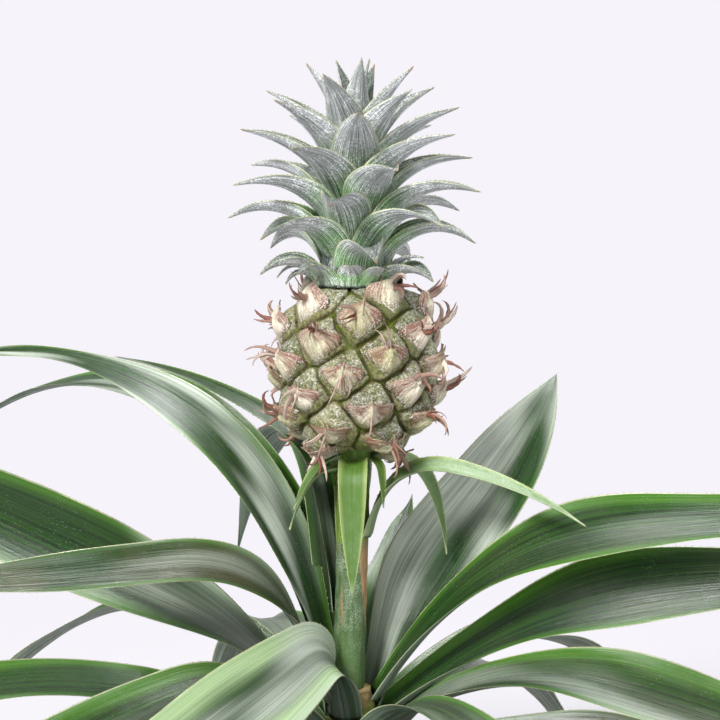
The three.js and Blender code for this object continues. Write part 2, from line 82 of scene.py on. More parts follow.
# One row for each rosette leaf, from the youngest to the oldest.
ROSETTE = [
    leaf_row(163, (80, 20, -5), 240, 37, (0.85, 0.1, 0.35), knee=(0, 1), sweep=-8, roll=-24, point=1.9),
    leaf_row(4, (57.5, 12, -2), 280, 38, (0.12, 0.2, 0.4), knee=(0, 0.5), sweep=-8, roll=34, gloss=0.22),
    leaf_row(214, (66, -1, 6), 264, 35, (0.4, 0.8, 0.25), knee=(0.08, 0.42), roll=-42, rolled=0.3, point=1.1),
    leaf_row(107, (79, -65, -65), 225, 30, (0.3, 0.3, 0.4), knee=(0.18, 0.9), sweep=14, roll=10),
    leaf_row(33, (68, 25, 52), 163, 39, (1.0, 0.1, 0.2), sweep=11, roll=42, rolled=0.4, point=5),
    leaf_row(247, (78, -10, -36), 250, 42, (1.0, 0.1, 1.0), knee=(0.06, 0.2), sweep=-58, roll=-52, rolled=0.12),
    leaf_row(139, (84, 31, -38), 305, 34, (0.7, 0.1, 0.5), knee=(0, 0.9), sweep=14, roll=-15),
    leaf_row(15, (36, 17, -12), 290, 44, (0.0, 0.15, 0.4), knee=(0, 0.5), sweep=-10, roll=40, gloss=0.16),
    leaf_row(71, (68, 37, 20), 124, 30, (0.6, 0.1, 0.8), sweep=9, point=1.8),
    leaf_row(346, (34, -5, -26), 280, 36, (0.4, 0.35, 0.5), knee=(0.02, 0.4), roll=35),
    leaf_row(187, (54, 28, 26), 290, 47, (0.6, 0.1, 0.45), knee=(0.04, 0.3), roll=-50),
    leaf_row(305, (50, -2, -50), 240, 28, (0.7, 0.2, 0.3), knee=(0, 0.3), sweep=3),
    leaf_row(275, (24, 0, -50), 250, 34, (0.4, 0.3, 0.4)),
    leaf_row(152, (55, 14, -60), 240, 32, (0.4, 0.2, 0.6)),
    leaf_row(44, (36, 8, -56), 240, 34, (0.4, 0.3, 0.6)),
    leaf_row(222, (54, -4, -26), 280, 38, (0.35, 0.2, 0.5), knee=(0.04, 0.3), sweep=-12, roll=-40),
    leaf_row(110, (38, 10, -60), 250, 34, (0.4, 0.3, 0.4)),
    leaf_row(299, (19, 0, -50), 250, 34, (0.3, 0.4, 0.4)),
    leaf_row(178, (28, 0, -24), 280, 34, (0.3, 0.15, 0.6), roll=-20),
    leaf_row(60, (24, 0, -50), 250, 34, (0.4, 0.4, 0.4)),
    leaf_row(262, (18, 0, -45), 240, 33, (0.3, 0.5, 0.4)),
    leaf_row(108, (16, 0, -50), 250, 34, (0.4, 0.5, 0.4)),
    leaf_row(12, (17, 0, -45), 250, 33, (0.4, 0.6, 0.3), roll=10),
    leaf_row(229, (16, -5, -50), 240, 32, (0.3, 0.6, 0.3)),
]
ROSETTE_TOP = 132
ROSETTE_FOOT = 100

# Rows as in ROSETTE for the narrow leaves on the stalk, with the height of the foot.
STALK_LEAVES = [
    leaf_row(146, (88, 42, 4), 172, 13, (0.35, 0.2, 0.35), height=166, knee=(0.28, 0.46), roll=-25),
    leaf_row(353, (78, 8, -34), 104, 15, (0.9, 0.1, 0.5), height=196, knee=(0.05, 0.5), roll=20),
    leaf_row(102, (84, 30, 36), 125, 11, (0.3, 0.2, 0.6), height=184, knee=(0.1, 0.45)),
    leaf_row(268, (10, -80, -88), 58, 12, (0.2, 0.05, 0.45), height=226, knee=(0, 0.3)),
    leaf_row(204, (0, -40, -65), 28, 9, (0.3, 0.1, 0.4), height=227, knee=(0, 0.4)),
    leaf_row(322, (0, -78, -86), 22, 6, (0.1, 0.0, 0.8), height=227, knee=(0, 0.4)),
    leaf_row(22, (5, -50, -84), 60, 12, (0.5, 0.1, 0.4), height=226, roll=50),
    leaf_row(186, (0, -45, -75), 32, 7, (0.4, 0.2, 0.6), height=222, knee=(0, 0.4)),
    leaf_row(80, (0, -60, -80), 34, 9, (0.4, 0.2, 0.6), height=227, knee=(0, 0.4)),
]

# How the crown's leaves change from its foot to its tip.
CROWN_STAGES = [
    dict(t=0, rise=62, fall=-38, length=24, width=24),
    dict(t=0.1, rise=57, fall=-36, length=38, width=26),
    dict(t=0.2, rise=54, fall=-26, length=44, width=27),
    dict(t=0.4, rise=57, fall=-6, length=47, width=28),
    dict(t=0.6, rise=61, fall=17, length=48, width=28),
    dict(t=0.8, rise=64, fall=28, length=46, width=25),
    dict(t=1, rise=85, fall=78, length=32, width=18),
]


# ---- Numbers ----


def lerp(a, b, share):
    return a + (b - a) * share


def smoothstep(x, low, high):
    share = min(1.0, max(0.0, (x - low) / (high - low)))
    return share * share * (3 - 2 * share)


def chance(count, salt):
    """A repeatable number from 0 to 1 for a counted thing."""
    x = math.sin(count * 12.9898 + salt * 78.233) * 43758.5453
    return x - math.floor(x)


def drawn(low, high, count, salt):
    """A repeatable number from low to high for a counted thing."""
    return lerp(low, high, chance(count, salt))


def colour(red, green, blue):
    """The linear colour of one given as 0 to 255 on a screen."""
    shares = (red / 255, green / 255, blue / 255)
    return tuple(c / 12.92 if c <= 0.04045 else ((c + 0.055) / 1.055) ** 2.4 for c in shares)


# ---- Settings ----


def colour_setting(name, description, default):
    return bpy.props.FloatVectorProperty(
        name=name, description=description, subtype="COLOR", size=3, min=0, max=1, default=default
    )


def length_setting(name, description, default, most):
    return bpy.props.FloatProperty(
        name=name, description=description, subtype="DISTANCE", unit="LENGTH", min=0.0001, max=most, default=default
    )


class PineappleSizes(bpy.types.PropertyGroup):
    leaf_tooth: length_setting("Leaf tooth", "Length of a tooth on the margin of a rosette leaf", 0.0005, 0.004)
    leaf_tooth_step: length_setting("Leaf tooth spacing", "From tooth to tooth on a rosette leaf", 0.0028, 0.02)
    crown_tooth: length_setting("Crown tooth", "Length of a tooth on the margin of a crown leaf", 0.0006, 0.003)
    crown_tooth_step: length_setting("Crown tooth spacing", "From tooth to tooth on a crown leaf", 0.0017, 0.01)
    wisp: length_setting("Wisp length", "Length of the longest withered flower strand", 0.0175, 0.03)
    bract_curl: length_setting("Bract curl", "How far the tip of an eye's papery bract stands out", 0.0044, 0.009)
    crumb: length_setting("Crumb size", "Width of the largest crumb on the soil", 0.0034, 0.01)
    crumbs: bpy.props.IntProperty(
        name="Crumbs", description="How many crumbs lie on the soil", min=0, max=2000, default=420
    )
    camera_distance: length_setting("Camera distance", "From the camera to the middle of the view", 0.65, 5)


class PineappleColours(bpy.types.PropertyGroup):
    leaf_dark: colour_setting("Leaf, dark", "Dark green of the rosette leaves", colour(12, 38, 10))
    leaf_mid: colour_setting("Leaf, middle", "Lighter lines of the rosette leaves", colour(36, 76, 20))
    leaf_bright: colour_setting("Leaf, bright", "Yellow-green band inside a leaf's margin", colour(86, 138, 38))
    leaf_olive: colour_setting("Leaf, olive", "Olive-brown cast of older leaves", colour(92, 86, 64))
    # This silver is also the colour of the painted highlight on the upper faces of the rosette leaves.
    leaf_silver: colour_setting("Leaf, silver", "Silvery bloom on the leaves", colour(200, 208, 198))
    leaf_margin: colour_setting("Leaf margin", "Pale line along a leaf's edge", colour(196, 202, 160))
    stalk_green: colour_setting("Stalk green", "Yellow-green of the stalk and of its leaves", colour(108, 146, 44))
    stalk_grey: colour_setting("Stalk scurf", "Grey scurf on the stalk", colour(170, 188, 162))
    stalk_tan: colour_setting("Stalk scars", "Tan of the scars on the stalk", colour(196, 150, 112))
    crown_silver: colour_setting("Crown silver", "Silver-green of the crown leaves", colour(228, 230, 230))
    crown_dark: colour_setting("Crown dark", "Darker lines of the crown leaves", colour(50, 70, 50))
    crown_green: colour_setting("Crown green", "Fresh green at the base of a crown leaf", colour(78, 144, 20))
    fruit_green: colour_setting("Fruit green", "Grey-green of the fruit's eyes", colour(104, 118, 46))
    fruit_groove: colour_setting("Fruit groove", "Olive green between the eyes", colour(104, 126, 10))
    fruit_frost: colour_setting("Fruit frost", "White frosting on the eyes", colour(250, 248, 242))
    bract_cream: colour_setting("Bract cream", "Papery middle of a bract", colour(250, 240, 222))
    bract_mauve: colour_setting("Bract mauve", "Mauve-brown edges of a bract", colour(134, 84, 68))
    wisp_brown: colour_setting("Wisp brown", "Reddish brown of the withered flowers", colour(120, 70, 52))
    terracotta: colour_setting("Terracotta", "Clay of the pot", colour(190, 108, 70))
    soil: colour_setting("Soil", "Damp potting soil", colour(52, 38, 28))
    backdrop: colour_setting("Backdrop", "Pale backdrop and floor", colour(246, 243, 250))


# ---- Node tools ----


def node(tree, kind, inputs=None, **settings):
    """Adds a shader node. inputs maps an input's name or number to a value or to a socket."""
    made = tree.nodes.new("ShaderNode" + kind)
    for name, value in settings.items():
        setattr(made, name, value)
    for key, value in (inputs or {}).items():
        if isinstance(value, bpy.types.NodeSocket):
            tree.links.new(value, made.inputs[key])
        else:
            made.inputs[key].default_value = value
    return made


def maths(tree, operation, *values):
    return node(tree, "Math", dict(enumerate(values)), operation=operation).outputs[0]


def times(tree, a, b):
    return maths(tree, "MULTIPLY", a, b)


def plus(tree, a, b):
    return maths(tree, "ADD", a, b)


def less(tree, a, b):
    return maths(tree, "SUBTRACT", a, b)


def ramp(tree, value, low, high, start=0.0, end=1.0):
    """value from low to high, turned smoothly into start to end."""
    inputs = {"Value": value, "From Min": low, "From Max": high, "To Min": start, "To Max": end}
    return node(tree, "MapRange", inputs, interpolation_type="SMOOTHSTEP").outputs["Result"]


def between(tree, value, start, end):
    """value from 0 to 1, turned smoothly into start to end."""
    return ramp(tree, value, 0.0, 1.0, start, end)


def mix(tree, factor, a, b, blend="MIX"):
    """a changed into b by a factor. Each of the two is a socket or a colour."""
    a, b = (c if isinstance(c, bpy.types.NodeSocket) else (*c, 1.0) for c in (a, b))
    return node(tree, "Mix", {0: factor, 6: a, 7: b}, data_type="RGBA", blend_type=blend).outputs[2]


def stretched(tree, across, along, turn):
    return node(tree, "CombineXYZ", {"X": across, "Y": along, "Z": turn}).outputs[0]


def noise_of(tree, vector, scale, detail=3.0, roughness=0.55):
    inputs = {"Vector": vector, "Scale": scale, "Detail": detail, "Roughness": roughness}
    return node(tree, "TexNoise", inputs).outputs[0]


def group(name, inputs, outputs, build):
    """A node group, made once. inputs maps a name to a default, and build(tree, ends, exits) links it."""
    if name in bpy.data.node_groups:
        return bpy.data.node_groups[name]
    tree = bpy.data.node_groups.new(name, "ShaderNodeTree")
    for socket, default in inputs.items():
        vector = isinstance(default, tuple)
        kind = "NodeSocketVector" if vector else "NodeSocketFloat"
        tree.interface.new_socket(socket, in_out="INPUT", socket_type=kind).default_value = default
    for socket in outputs:
        tree.interface.new_socket(socket, in_out="OUTPUT", socket_type="NodeSocketFloat")
    ends = tree.nodes.new("NodeGroupInput").outputs
    exits = tree.nodes.new("NodeGroupOutput").inputs
    build(tree, ends, exits)
    return tree


def use(tree, made, **inputs):
    """Adds a group node. An input's name is written with _ for a space."""
    placed = tree.nodes.new("ShaderNodeGroup")
    placed.node_tree = made
    for key, value in inputs.items():
        socket = placed.inputs[key.replace("_", " ")]
        if isinstance(value, bpy.types.NodeSocket):
            tree.links.new(value, socket)
        else:
            socket.default_value = value
    return placed.outputs


def fine_lines():
    """Fine parallel lines that run along a blade and come and go."""

    def build(tree, ends, exits):
        across = times(tree, ends["Across"], ends["Lines"])
        along = times(tree, ends["Along"], 2.2)
        lines = noise_of(tree, stretched(tree, across, along, ends["Seed"]), 1.0, 2.0, 0.6)
        tree.links.new(ramp(tree, lines, 0.32, 0.68), exits["Value"])

    return group("Fine lines", {"Across": 0.5, "Along": 0.5, "Lines": 60.0, "Seed": 0.0}, ["Value"], build)


def speckle():
    """Small round specks, some larger than others, in patches."""

    def build(tree, ends, exits):
        cells = node(tree, "TexVoronoi", {"Vector": ends["Vector"], "Scale": ends["Scale"], "Randomness": 1.0})
        tone = node(tree, "SeparateColor", {0: cells.outputs["Color"]}).outputs[0]
        patches = noise_of(tree, ends["Vector"], times(tree, ends["Scale"], 0.06))
        wanted = times(tree, times(tree, tone, ramp(tree, patches, 0.3, 0.65, 0.35, 1.0)), ends["Size"])
        specks = less(tree, wanted, cells.outputs["Distance"])
        tree.links.new(ramp(tree, specks, 0.0, 0.12), exits["Mask"])

    return group("Speckle", {"Vector": (0.0, 0.0, 0.0), "Scale": 900.0, "Size": 0.4}, ["Mask"], build)


def edge_bands():
    """The bands along both sides of a blade: how near the edge, the broad band and the thin line at the edge."""

    def build(tree, ends, exits):
        centred = less(tree, times(tree, ends["Across"], 2.0), 1.0)
        edge = maths(tree, "ABSOLUTE", centred)
        swing = noise_of(tree, stretched(tree, centred, times(tree, ends["Along"], 2.5), ends["Seed"]), 0.9, 2.0)
        shifted = plus(tree, edge, times(tree, less(tree, swing, 0.5), ends["Wander"]))
        start = less(tree, 1.0, ends["Width"])
        tree.links.new(edge, exits["Edge"])
        tree.links.new(ramp(tree, shifted, less(tree, start, 0.12), plus(tree, start, 0.24)), exits["Band"])
        tree.links.new(ramp(tree, edge, 0.955, 0.985), exits["Line"])

    inputs = {"Across": 0.5, "Along": 0.5, "Seed": 0.0, "Width": 0.3, "Wander": 0.5}
    return group("Edge bands", inputs, ["Edge", "Band", "Line"], build)


def weathering():
    """Two sizes of soft blotches for colour, and a fine one for relief."""

    def build(tree, ends, exits):
        for name, share in (("Broad", 1.0), ("Small", 5.0), ("Grain", 40.0)):
            blotch = noise_of(tree, ends["Vector"], times(tree, ends["Scale"], share), 4.0)
            tree.links.new(ramp(tree, blotch, 0.3, 0.7), exits[name])

    return group("Weathering", {"Vector": (0.0, 0.0, 0.0), "Scale": 30.0}, ["Broad", "Small", "Grain"], build)


def material(name, lay_out, *choices):
    """A material made once. lay_out(tree, colours, *choices) lays out its nodes and returns what it looks like."""
    if name in bpy.data.materials:
        return bpy.data.materials[name]
    made = bpy.data.materials.new(name)
    made.use_nodes = True
    tree = made.node_tree
    tree.nodes.clear()
    looks = lay_out(tree, bpy.context.scene.pineapple_colours, *choices)
    relief = {"Strength": looks.get("bump", 0.4), "Distance": looks.get("depth", 0.0003), "Height": looks["height"]}
    inputs = {
        "Base Color": looks["colour"],
        "Roughness": looks["roughness"],
        "Specular IOR Level": looks.get("specular", 0.5),
        "Sheen Weight": looks.get("sheen", 0.0),
        "Normal": node(tree, "Bump", relief).outputs[0],
    }
    shader = node(tree, "BsdfPrincipled", inputs)
    node(tree, "OutputMaterial", {"Surface": shader.outputs[0]})
    return made


def object_place(tree):
    return node(tree, "TexCoord").outputs["Object"]


def blade_place(tree):
    """Across and along a blade, from its UV map."""
    place = node(tree, "SeparateXYZ", {0: node(tree, "UVMap", uv_map="UVMap").outputs[0]})
    return place.outputs["X"], place.outputs["Y"]


def tones(tree):
    """The three tones and the seed of a blade, from its attributes."""
    tone = node(tree, "SeparateColor", {0: node(tree, "Attribute", attribute_name="tone").outputs["Color"]})
    seed = node(tree, "Attribute", attribute_name="seed").outputs["Fac"]
    return tone.outputs[0], tone.outputs[1], tone.outputs[2], seed


def lines_on(tree, across, along, lines, seed):
    return use(tree, fine_lines(), Across=across, Along=along, Lines=lines, Seed=seed)["Value"]


def specks_on(tree, place, scale, size):
    return use(tree, speckle(), Vector=place, Scale=scale, Size=size)["Mask"]


def blotches_on(tree, place, scale):
    return use(tree, weathering(), Vector=place, Scale=scale)


# ---- Materials ----


def rosette_upper(tree, colours, gloss):
    across, along = blade_place(tree)
    silver, olive, pale, seed = tones(tree)
    place = object_place(tree)
    width = between(tree, pale, 0.12, 0.58)
    bands = use(tree, edge_bands(), Across=across, Along=along, Seed=seed, Width=width, Wander=0.85)
    fine = lines_on(tree, across, along, 150.0, seed)
    broad = lines_on(tree, across, along, 26.0, plus(tree, seed, 7.0))
    blotch = blotches_on(tree, place, 22.0)
    # Noise patches that hold the silvery coating and the painted highlight of the upper face.
    silver_and_highlight_patches = noise_of(tree, stretched(tree, times(tree, across, 1.7), times(tree, along, 2.6), seed), 1.0, 1.0)
    green = mix(tree, times(tree, broad, 0.8), colours.leaf_dark, colours.leaf_mid)
    fresh = mix(tree, ramp(tree, pale, 0.75, 1.0, 0.0, 0.85), colours.leaf_bright, colour(196, 222, 172))
    green = mix(tree, times(tree, bands["Band"], ramp(tree, pale, 0.75, 1.0, 0.48, 0.85)), green, fresh)
    inward = less(tree, 1.0, bands["Band"])
    cast = times(tree, times(tree, olive, blotch["Broad"]), between(tree, inward, 0.3, 0.9))
    green = mix(tree, cast, green, colours.leaf_olive)
    # Painted highlight together with the leaf's own silvery coating: silver-white in the patches and on the paler
    # lines, more on leaves with a higher silver tone.
    shifted = plus(tree, silver_and_highlight_patches, times(tree, silver, 0.1))
    bloom_and_highlight = times(tree, ramp(tree, shifted, 0.52, 0.74), between(tree, silver, 0.05, 1.0))
    bloom_and_highlight = times(tree, bloom_and_highlight, between(tree, fine, 0.7, 1.0))
    bloom_and_highlight = times(tree, bloom_and_highlight, between(tree, broad, 0.8, 1.0))
    green = mix(tree, bloom_and_highlight, green, colours.leaf_silver)
    green = mix(tree, 1.0, green, mix(tree, fine, (0.78, 0.82, 0.76), (1.16, 1.14, 1.12)), "MULTIPLY")
    specks = specks_on(tree, place, 1300.0, 0.34)
    green = mix(tree, times(tree, specks, 0.24), green, colours.leaf_silver)
    edge = mix(tree, blotch["Small"], colours.leaf_margin, mix(tree, 0.5, colours.leaf_margin, colours.leaf_olive))
    green = mix(tree, times(tree, bands["Line"], 0.8), green, edge)
    mottle = plus(tree, times(tree, fine, 0.6), times(tree, blotch["Small"], 0.4))
    rough = between(tree, mottle, 0.24, 0.38)
    height = plus(tree, times(tree, fine, 0.6), times(tree, broad, 0.9))
    return dict(
        colour=green,
        roughness=rough,
        height=height,
        bump=0.3,
        depth=0.0002,
        specular=gloss,
    )


def rosette_under(tree, colours):
    across, along = blade_place(tree)
    _silver, olive, _pale, seed = tones(tree)
    place = object_place(tree)
    bands = use(tree, edge_bands(), Across=across, Along=along, Seed=seed, Width=0.14)
    fine = lines_on(tree, across, along, 170.0, seed)
    broad = lines_on(tree, across, along, 30.0, plus(tree, seed, 9.0))
    blotch = blotches_on(tree, place, 40.0)
    green = mix(tree, broad, colours.leaf_mid, colours.leaf_silver)
    green = mix(tree, 0.5, green, colour(104, 124, 106))
    green = mix(tree, times(tree, olive, times(tree, blotch["Broad"], 0.5)), green, colours.leaf_olive)
    green = mix(tree, 1.0, green, mix(tree, fine, (0.7, 0.73, 0.7), (1.2, 1.2, 1.2)), "MULTIPLY")
    green = mix(tree, bands["Line"], green, colours.leaf_margin)
    rough = between(tree, blotch["Small"], 0.48, 0.66)
    return dict(colour=green, roughness=rough, height=fine, bump=0.4, depth=0.0002)


def margin_teeth(tree, colours):
    blotch = blotches_on(tree, object_place(tree), 60.0)
    tooth = mix(tree, blotch["Broad"], colours.leaf_margin, colours.bract_mauve)
    return dict(colour=tooth, roughness=between(tree, blotch["Small"], 0.35, 0.5), height=blotch["Grain"], bump=0.15)


def stalk_blade_face(tree, colours, upper):
    across, along = blade_place(tree)
    silver, olive, pale, seed = tones(tree)
    place = object_place(tree)
    width = between(tree, pale, 0.15, 0.45)
    bands = use(tree, edge_bands(), Across=across, Along=along, Seed=seed, Width=width)
    fine = lines_on(tree, across, along, 60.0, seed)
    blotch = blotches_on(tree, place, 60.0)
    deep = mix(tree, 0.75, colours.stalk_green, colours.leaf_mid)
    green = mix(tree, times(tree, fine, ramp(tree, pale, 0.3, 0.8, 0.3, 1.0)), deep, colours.stalk_green)
    green = mix(tree, times(tree, bands["Band"], 0.5), green, colour(186, 200, 120))
    lower = ramp(tree, along, 0.25, 0.6)
    grains = specks_on(tree, place, 2600.0, 1.1)
    scurf = times(tree, between(tree, blotch["Small"], 0.35, 0.8), between(tree, grains, 0.55, 1.0))
    scurf = times(tree, times(tree, scurf, silver), between(tree, lower, 0.4, 1.0))
    green = mix(tree, scurf, green, colours.stalk_grey)
    if not upper:
        green = mix(tree, 0.35, green, colours.stalk_grey)
    tip = times(tree, ramp(tree, along, 0.86, 1.0), ramp(tree, olive, 0.0, 0.3, 0.5, 0.9))
    green = mix(tree, tip, green, colours.leaf_margin)
    green = mix(tree, bands["Line"], green, colours.leaf_margin)
    rough = ramp(tree, plus(tree, scurf, blotch["Small"]), 0.0, 1.6, 0.36, 0.62)
    height = plus(tree, times(tree, fine, 0.6), scurf)
    return dict(colour=green, roughness=rough, height=height, bump=0.4, depth=0.00015)


def crown_blade_face(tree, colours, upper):
    across, along = blade_place(tree)
    silver, olive, _pale, seed = tones(tree)
    place = object_place(tree)
    bands = use(tree, edge_bands(), Across=across, Along=along, Seed=seed, Width=0.1, Wander=0.1)
    fine = lines_on(tree, across, along, 84.0, seed)
    broad = lines_on(tree, across, along, 20.0, plus(tree, seed, 5.0))
    blotch = blotches_on(tree, place, 90.0)
    grains = specks_on(tree, place, 2300.0, 1.0)
    scurf = plus(tree, times(tree, fine, 0.55), times(tree, grains, 0.45))
    scurf = times(tree, scurf, ramp(tree, broad, 0.05, 0.45, 0.35, 1.0))
    if upper:
        scurf = times(tree, scurf, between(tree, silver, 0.35, 0.8))
    else:
        scurf = plus(tree, times(tree, scurf, 0.58), 0.42)
    base = times(tree, ramp(tree, along, 0.56, 0.2), between(tree, blotch["Broad"], 0.5, 1.0))
    ground = mix(tree, base, colours.crown_dark, colours.crown_green)
    bare = less(tree, 1.0, times(tree, base, between(tree, fine, 1.0, 0.45)))
    tinted = mix(tree, times(tree, scurf, bare), ground, colours.crown_silver)
    lines = plus(tree, times(tree, fine, 0.65), times(tree, grains, 0.35))
    tinted = mix(tree, 1.0, tinted, mix(tree, lines, (0.32, 0.37, 0.34), (2.1, 2.05, 2.14)), "MULTIPLY")
    tinted = mix(tree, times(tree, bands["Band"], 0.35), tinted, colour(176, 192, 128))
    tip = times(tree, ramp(tree, along, 0.88, 1.0), between(tree, olive, 0.5, 1.0))
    tinted = mix(tree, tip, tinted, mix(tree, olive, colour(186, 186, 120), colours.bract_mauve))
    tinted = mix(tree, bands["Line"], tinted, colour(206, 212, 160))
    rough = between(tree, blotch["Small"], 0.42, 0.6)
    height = plus(tree, times(tree, fine, 0.7), times(tree, broad, 0.9))
    return dict(colour=tinted, roughness=rough, height=height, bump=0.55, depth=0.0002, sheen=0.2)


def stalk_skin(tree, colours):
    place = object_place(tree)
    height_up = node(tree, "SeparateXYZ", {0: place}).outputs["Z"]
    upright = node(tree, "Mapping", {"Vector": place, "Scale": (1.0, 1.0, 0.12)}).outputs[0]
    fibres = ramp(tree, noise_of(tree, upright, 900.0, 3.0), 0.3, 0.7)
    blotch = blotches_on(tree, upright, 120.0)
    specks = specks_on(tree, place, 2800.0, 1.05)
    fresh = mix(tree, fibres, colours.stalk_green, mix(tree, 0.35, colours.stalk_green, colours.leaf_dark))
    ground = mix(tree, fibres, colour(64, 90, 48), colour(98, 118, 82))
    grey = mix(tree, times(tree, specks, 0.5), ground, colours.stalk_grey)
    tinted = mix(tree, ramp(tree, height_up, 0.1955, 0.1935), fresh, grey)
    deep = ramp(tree, height_up, 0.168, 0.15)
    tinted = mix(tree, times(tree, deep, 0.6), tinted, colour(76, 108, 50))
    scars = times(tree, ramp(tree, blotch["Broad"], 0.45, 0.7), ramp(tree, height_up, 0.2, 0.188))
    scars = times(tree, scars, ramp(tree, height_up, 0.158, 0.17))
    tinted = mix(tree, times(tree, scars, 0.75), tinted, colours.stalk_tan)
    relief = plus(tree, times(tree, fibres, 0.5), plus(tree, specks, scars))
    return dict(colour=tinted, roughness=between(tree, fibres, 0.45, 0.62), height=relief, bump=0.6, depth=0.0003)


def stem_skin(tree, colours):
    blotch = blotches_on(tree, object_place(tree), 90.0)
    tinted = mix(tree, blotch["Broad"], colours.stalk_green, colours.stalk_tan)
    tinted = mix(tree, times(tree, blotch["Small"], 0.5), tinted, colours.leaf_olive)
    return dict(colour=tinted, roughness=between(tree, blotch["Small"], 0.55, 0.75), height=blotch["Grain"], bump=0.5)


def fruit_skin(tree, colours):
    place = object_place(tree)
    eye = node(tree, "SeparateColor", {0: node(tree, "Attribute", attribute_name="eye").outputs["Color"]})
    mound, frost, tone = eye.outputs[0], eye.outputs[1], eye.outputs[2]
    blotch = blotches_on(tree, place, 180.0)
    dots = specks_on(tree, place, 1900.0, 0.95)
    grains = specks_on(tree, place, 3600.0, 1.1)
    green = mix(tree, blotch["Broad"], colours.fruit_green, colour(54, 74, 22))
    warm = times(tree, between(tree, tone, 0.35, 1.0), times(tree, blotch["Small"], 0.75))
    green = mix(tree, warm, green, colour(200, 186, 132))
    # frost is the white frosting of the eyes, with painted shade in the sepal creases.
    cover = times(tree, frost, between(tree, blotch["Small"], 0.4, 1.0))
    green = mix(tree, times(tree, times(tree, cover, grains), 0.6), green, colours.fruit_frost)
    green = mix(tree, times(tree, dots, between(tree, cover, 0.1, 0.8)), green, colours.fruit_frost)
    # Painted shade between the eyes: dark olive-brown where an eye nears its border, partly the real brown of the
    # crevices.
    brown = times(tree, ramp(tree, mound, 0.94, 0.5), ramp(tree, blotch["Broad"], 0.2, 0.8, 0.5, 1.0))
    green = mix(tree, brown, green, mix(tree, blotch["Small"], colour(46, 40, 16), colour(104, 70, 44)))
    groove = ramp(tree, mound, 0.46, 0.14)
    green = mix(tree, times(tree, groove, between(tree, dots, 1.0, 0.7)), green, colours.fruit_groove)
    relief = plus(tree, dots, plus(tree, times(tree, grains, 0.4), blotch["Grain"]))
    return dict(colour=green, roughness=between(tree, cover, 0.42, 0.7), height=relief, bump=0.7, depth=0.0003)


def papery_bract(tree, colours):
    across, along = blade_place(tree)
    _silver, _olive, tone, seed = tones(tree)
    place = object_place(tree)
    fibres = lines_on(tree, across, along, 40.0, seed)
    edge = maths(tree, "ABSOLUTE", less(tree, times(tree, across, 2.0), 1.0))
    blotch = blotches_on(tree, place, 220.0)
    dots = specks_on(tree, place, 1900.0, 0.9)
    wander = plus(tree, edge, times(tree, less(tree, blotch["Broad"], 0.5), 0.5))
    wing = ramp(tree, wander, 0.32, 0.78)
    tan = mix(tree, 0.6, colours.bract_cream, colour(150, 138, 78))
    paper = mix(tree, fibres, tan, colours.bract_cream)
    paper = mix(tree, times(tree, tone, times(tree, blotch["Small"], 0.95)), paper, colour(160, 170, 78))
    paper = mix(tree, times(tree, wing, between(tree, fibres, 0.95, 0.5)), paper, colours.bract_mauve)
    streaks = lines_on(tree, across, along, 14.0, plus(tree, seed, 2.0))
    paper = mix(tree, times(tree, streaks, 0.22), paper, colours.bract_mauve)
    paper = mix(tree, ramp(tree, along, 0.8, 1.0, 0.0, 0.85), paper, colours.wisp_brown)
    foot = times(tree, ramp(tree, along, 0.3, 0.0), between(tree, blotch["Small"], 0.5, 1.0))
    paper = mix(tree, times(tree, foot, 0.9), paper, mix(tree, dots, colour(74, 76, 30), colours.fruit_frost))
    paper = mix(tree, times(tree, dots, 0.35), paper, colours.fruit_frost)
    relief = plus(tree, fibres, times(tree, dots, 0.5))
    return dict(colour=paper, roughness=between(tree, fibres, 0.5, 0.75), height=relief, bump=0.7, depth=0.0003)


def withered_flower(tree, colours):
    across, along = blade_place(tree)
    _silver, _olive, tone, seed = tones(tree)
    fibres = lines_on(tree, across, along, 9.0, seed)
    brown = mix(tree, fibres, colours.wisp_brown, colours.bract_mauve)
    brown = mix(tree, times(tree, tone, 0.7), brown, colours.bract_cream)
    brown = mix(tree, ramp(tree, along, 0.7, 1.0, 0.0, 0.45), brown, colour(110, 74, 60))
    return dict(colour=brown, roughness=between(tree, fibres, 0.6, 0.8), height=fibres, bump=0.4, depth=0.0001)


def terracotta(tree, colours):
    place = object_place(tree)
    height_up = node(tree, "SeparateXYZ", {0: place}).outputs["Z"]
    rings = node(tree, "Mapping", {"Vector": place, "Scale": (0.15, 0.15, 1.0)}).outputs[0]
    thrown = ramp(tree, noise_of(tree, rings, 420.0, 3.0), 0.3, 0.7)
    blotch = blotches_on(tree, place, 24.0)
    pores = specks_on(tree, place, 820.0, 0.42)
    clay = mix(tree, blotch["Broad"], colours.terracotta, mix(tree, 0.35, colours.terracotta, colour(222, 158, 118)))
    clay = mix(tree, times(tree, thrown, 0.25), clay, colour(150, 82, 54))
    lime = times(tree, ramp(tree, blotch["Small"], 0.45, 0.9), ramp(tree, height_up, 0.05, 0.004))
    clay = mix(tree, times(tree, lime, 0.55), clay, colour(222, 200, 184))
    clay = mix(tree, times(tree, pores, 0.5), clay, colour(118, 66, 46))
    relief = plus(tree, times(tree, thrown, 0.5), less(tree, times(tree, blotch["Grain"], 0.5), pores))
    return dict(colour=clay, roughness=between(tree, blotch["Small"], 0.75, 0.9), height=relief, bump=0.5, depth=0.0003)


def damp_soil(tree, colours):
    blotch = blotches_on(tree, object_place(tree), 60.0)
    earth = mix(tree, blotch["Broad"], colours.soil, colour(86, 64, 46))
    earth = mix(tree, times(tree, blotch["Small"], 0.5), earth, colour(30, 22, 17))
    rough = between(tree, blotch["Small"], 0.85, 0.97)
    return dict(colour=earth, roughness=rough, height=blotch["Grain"], bump=0.9, depth=0.0008)


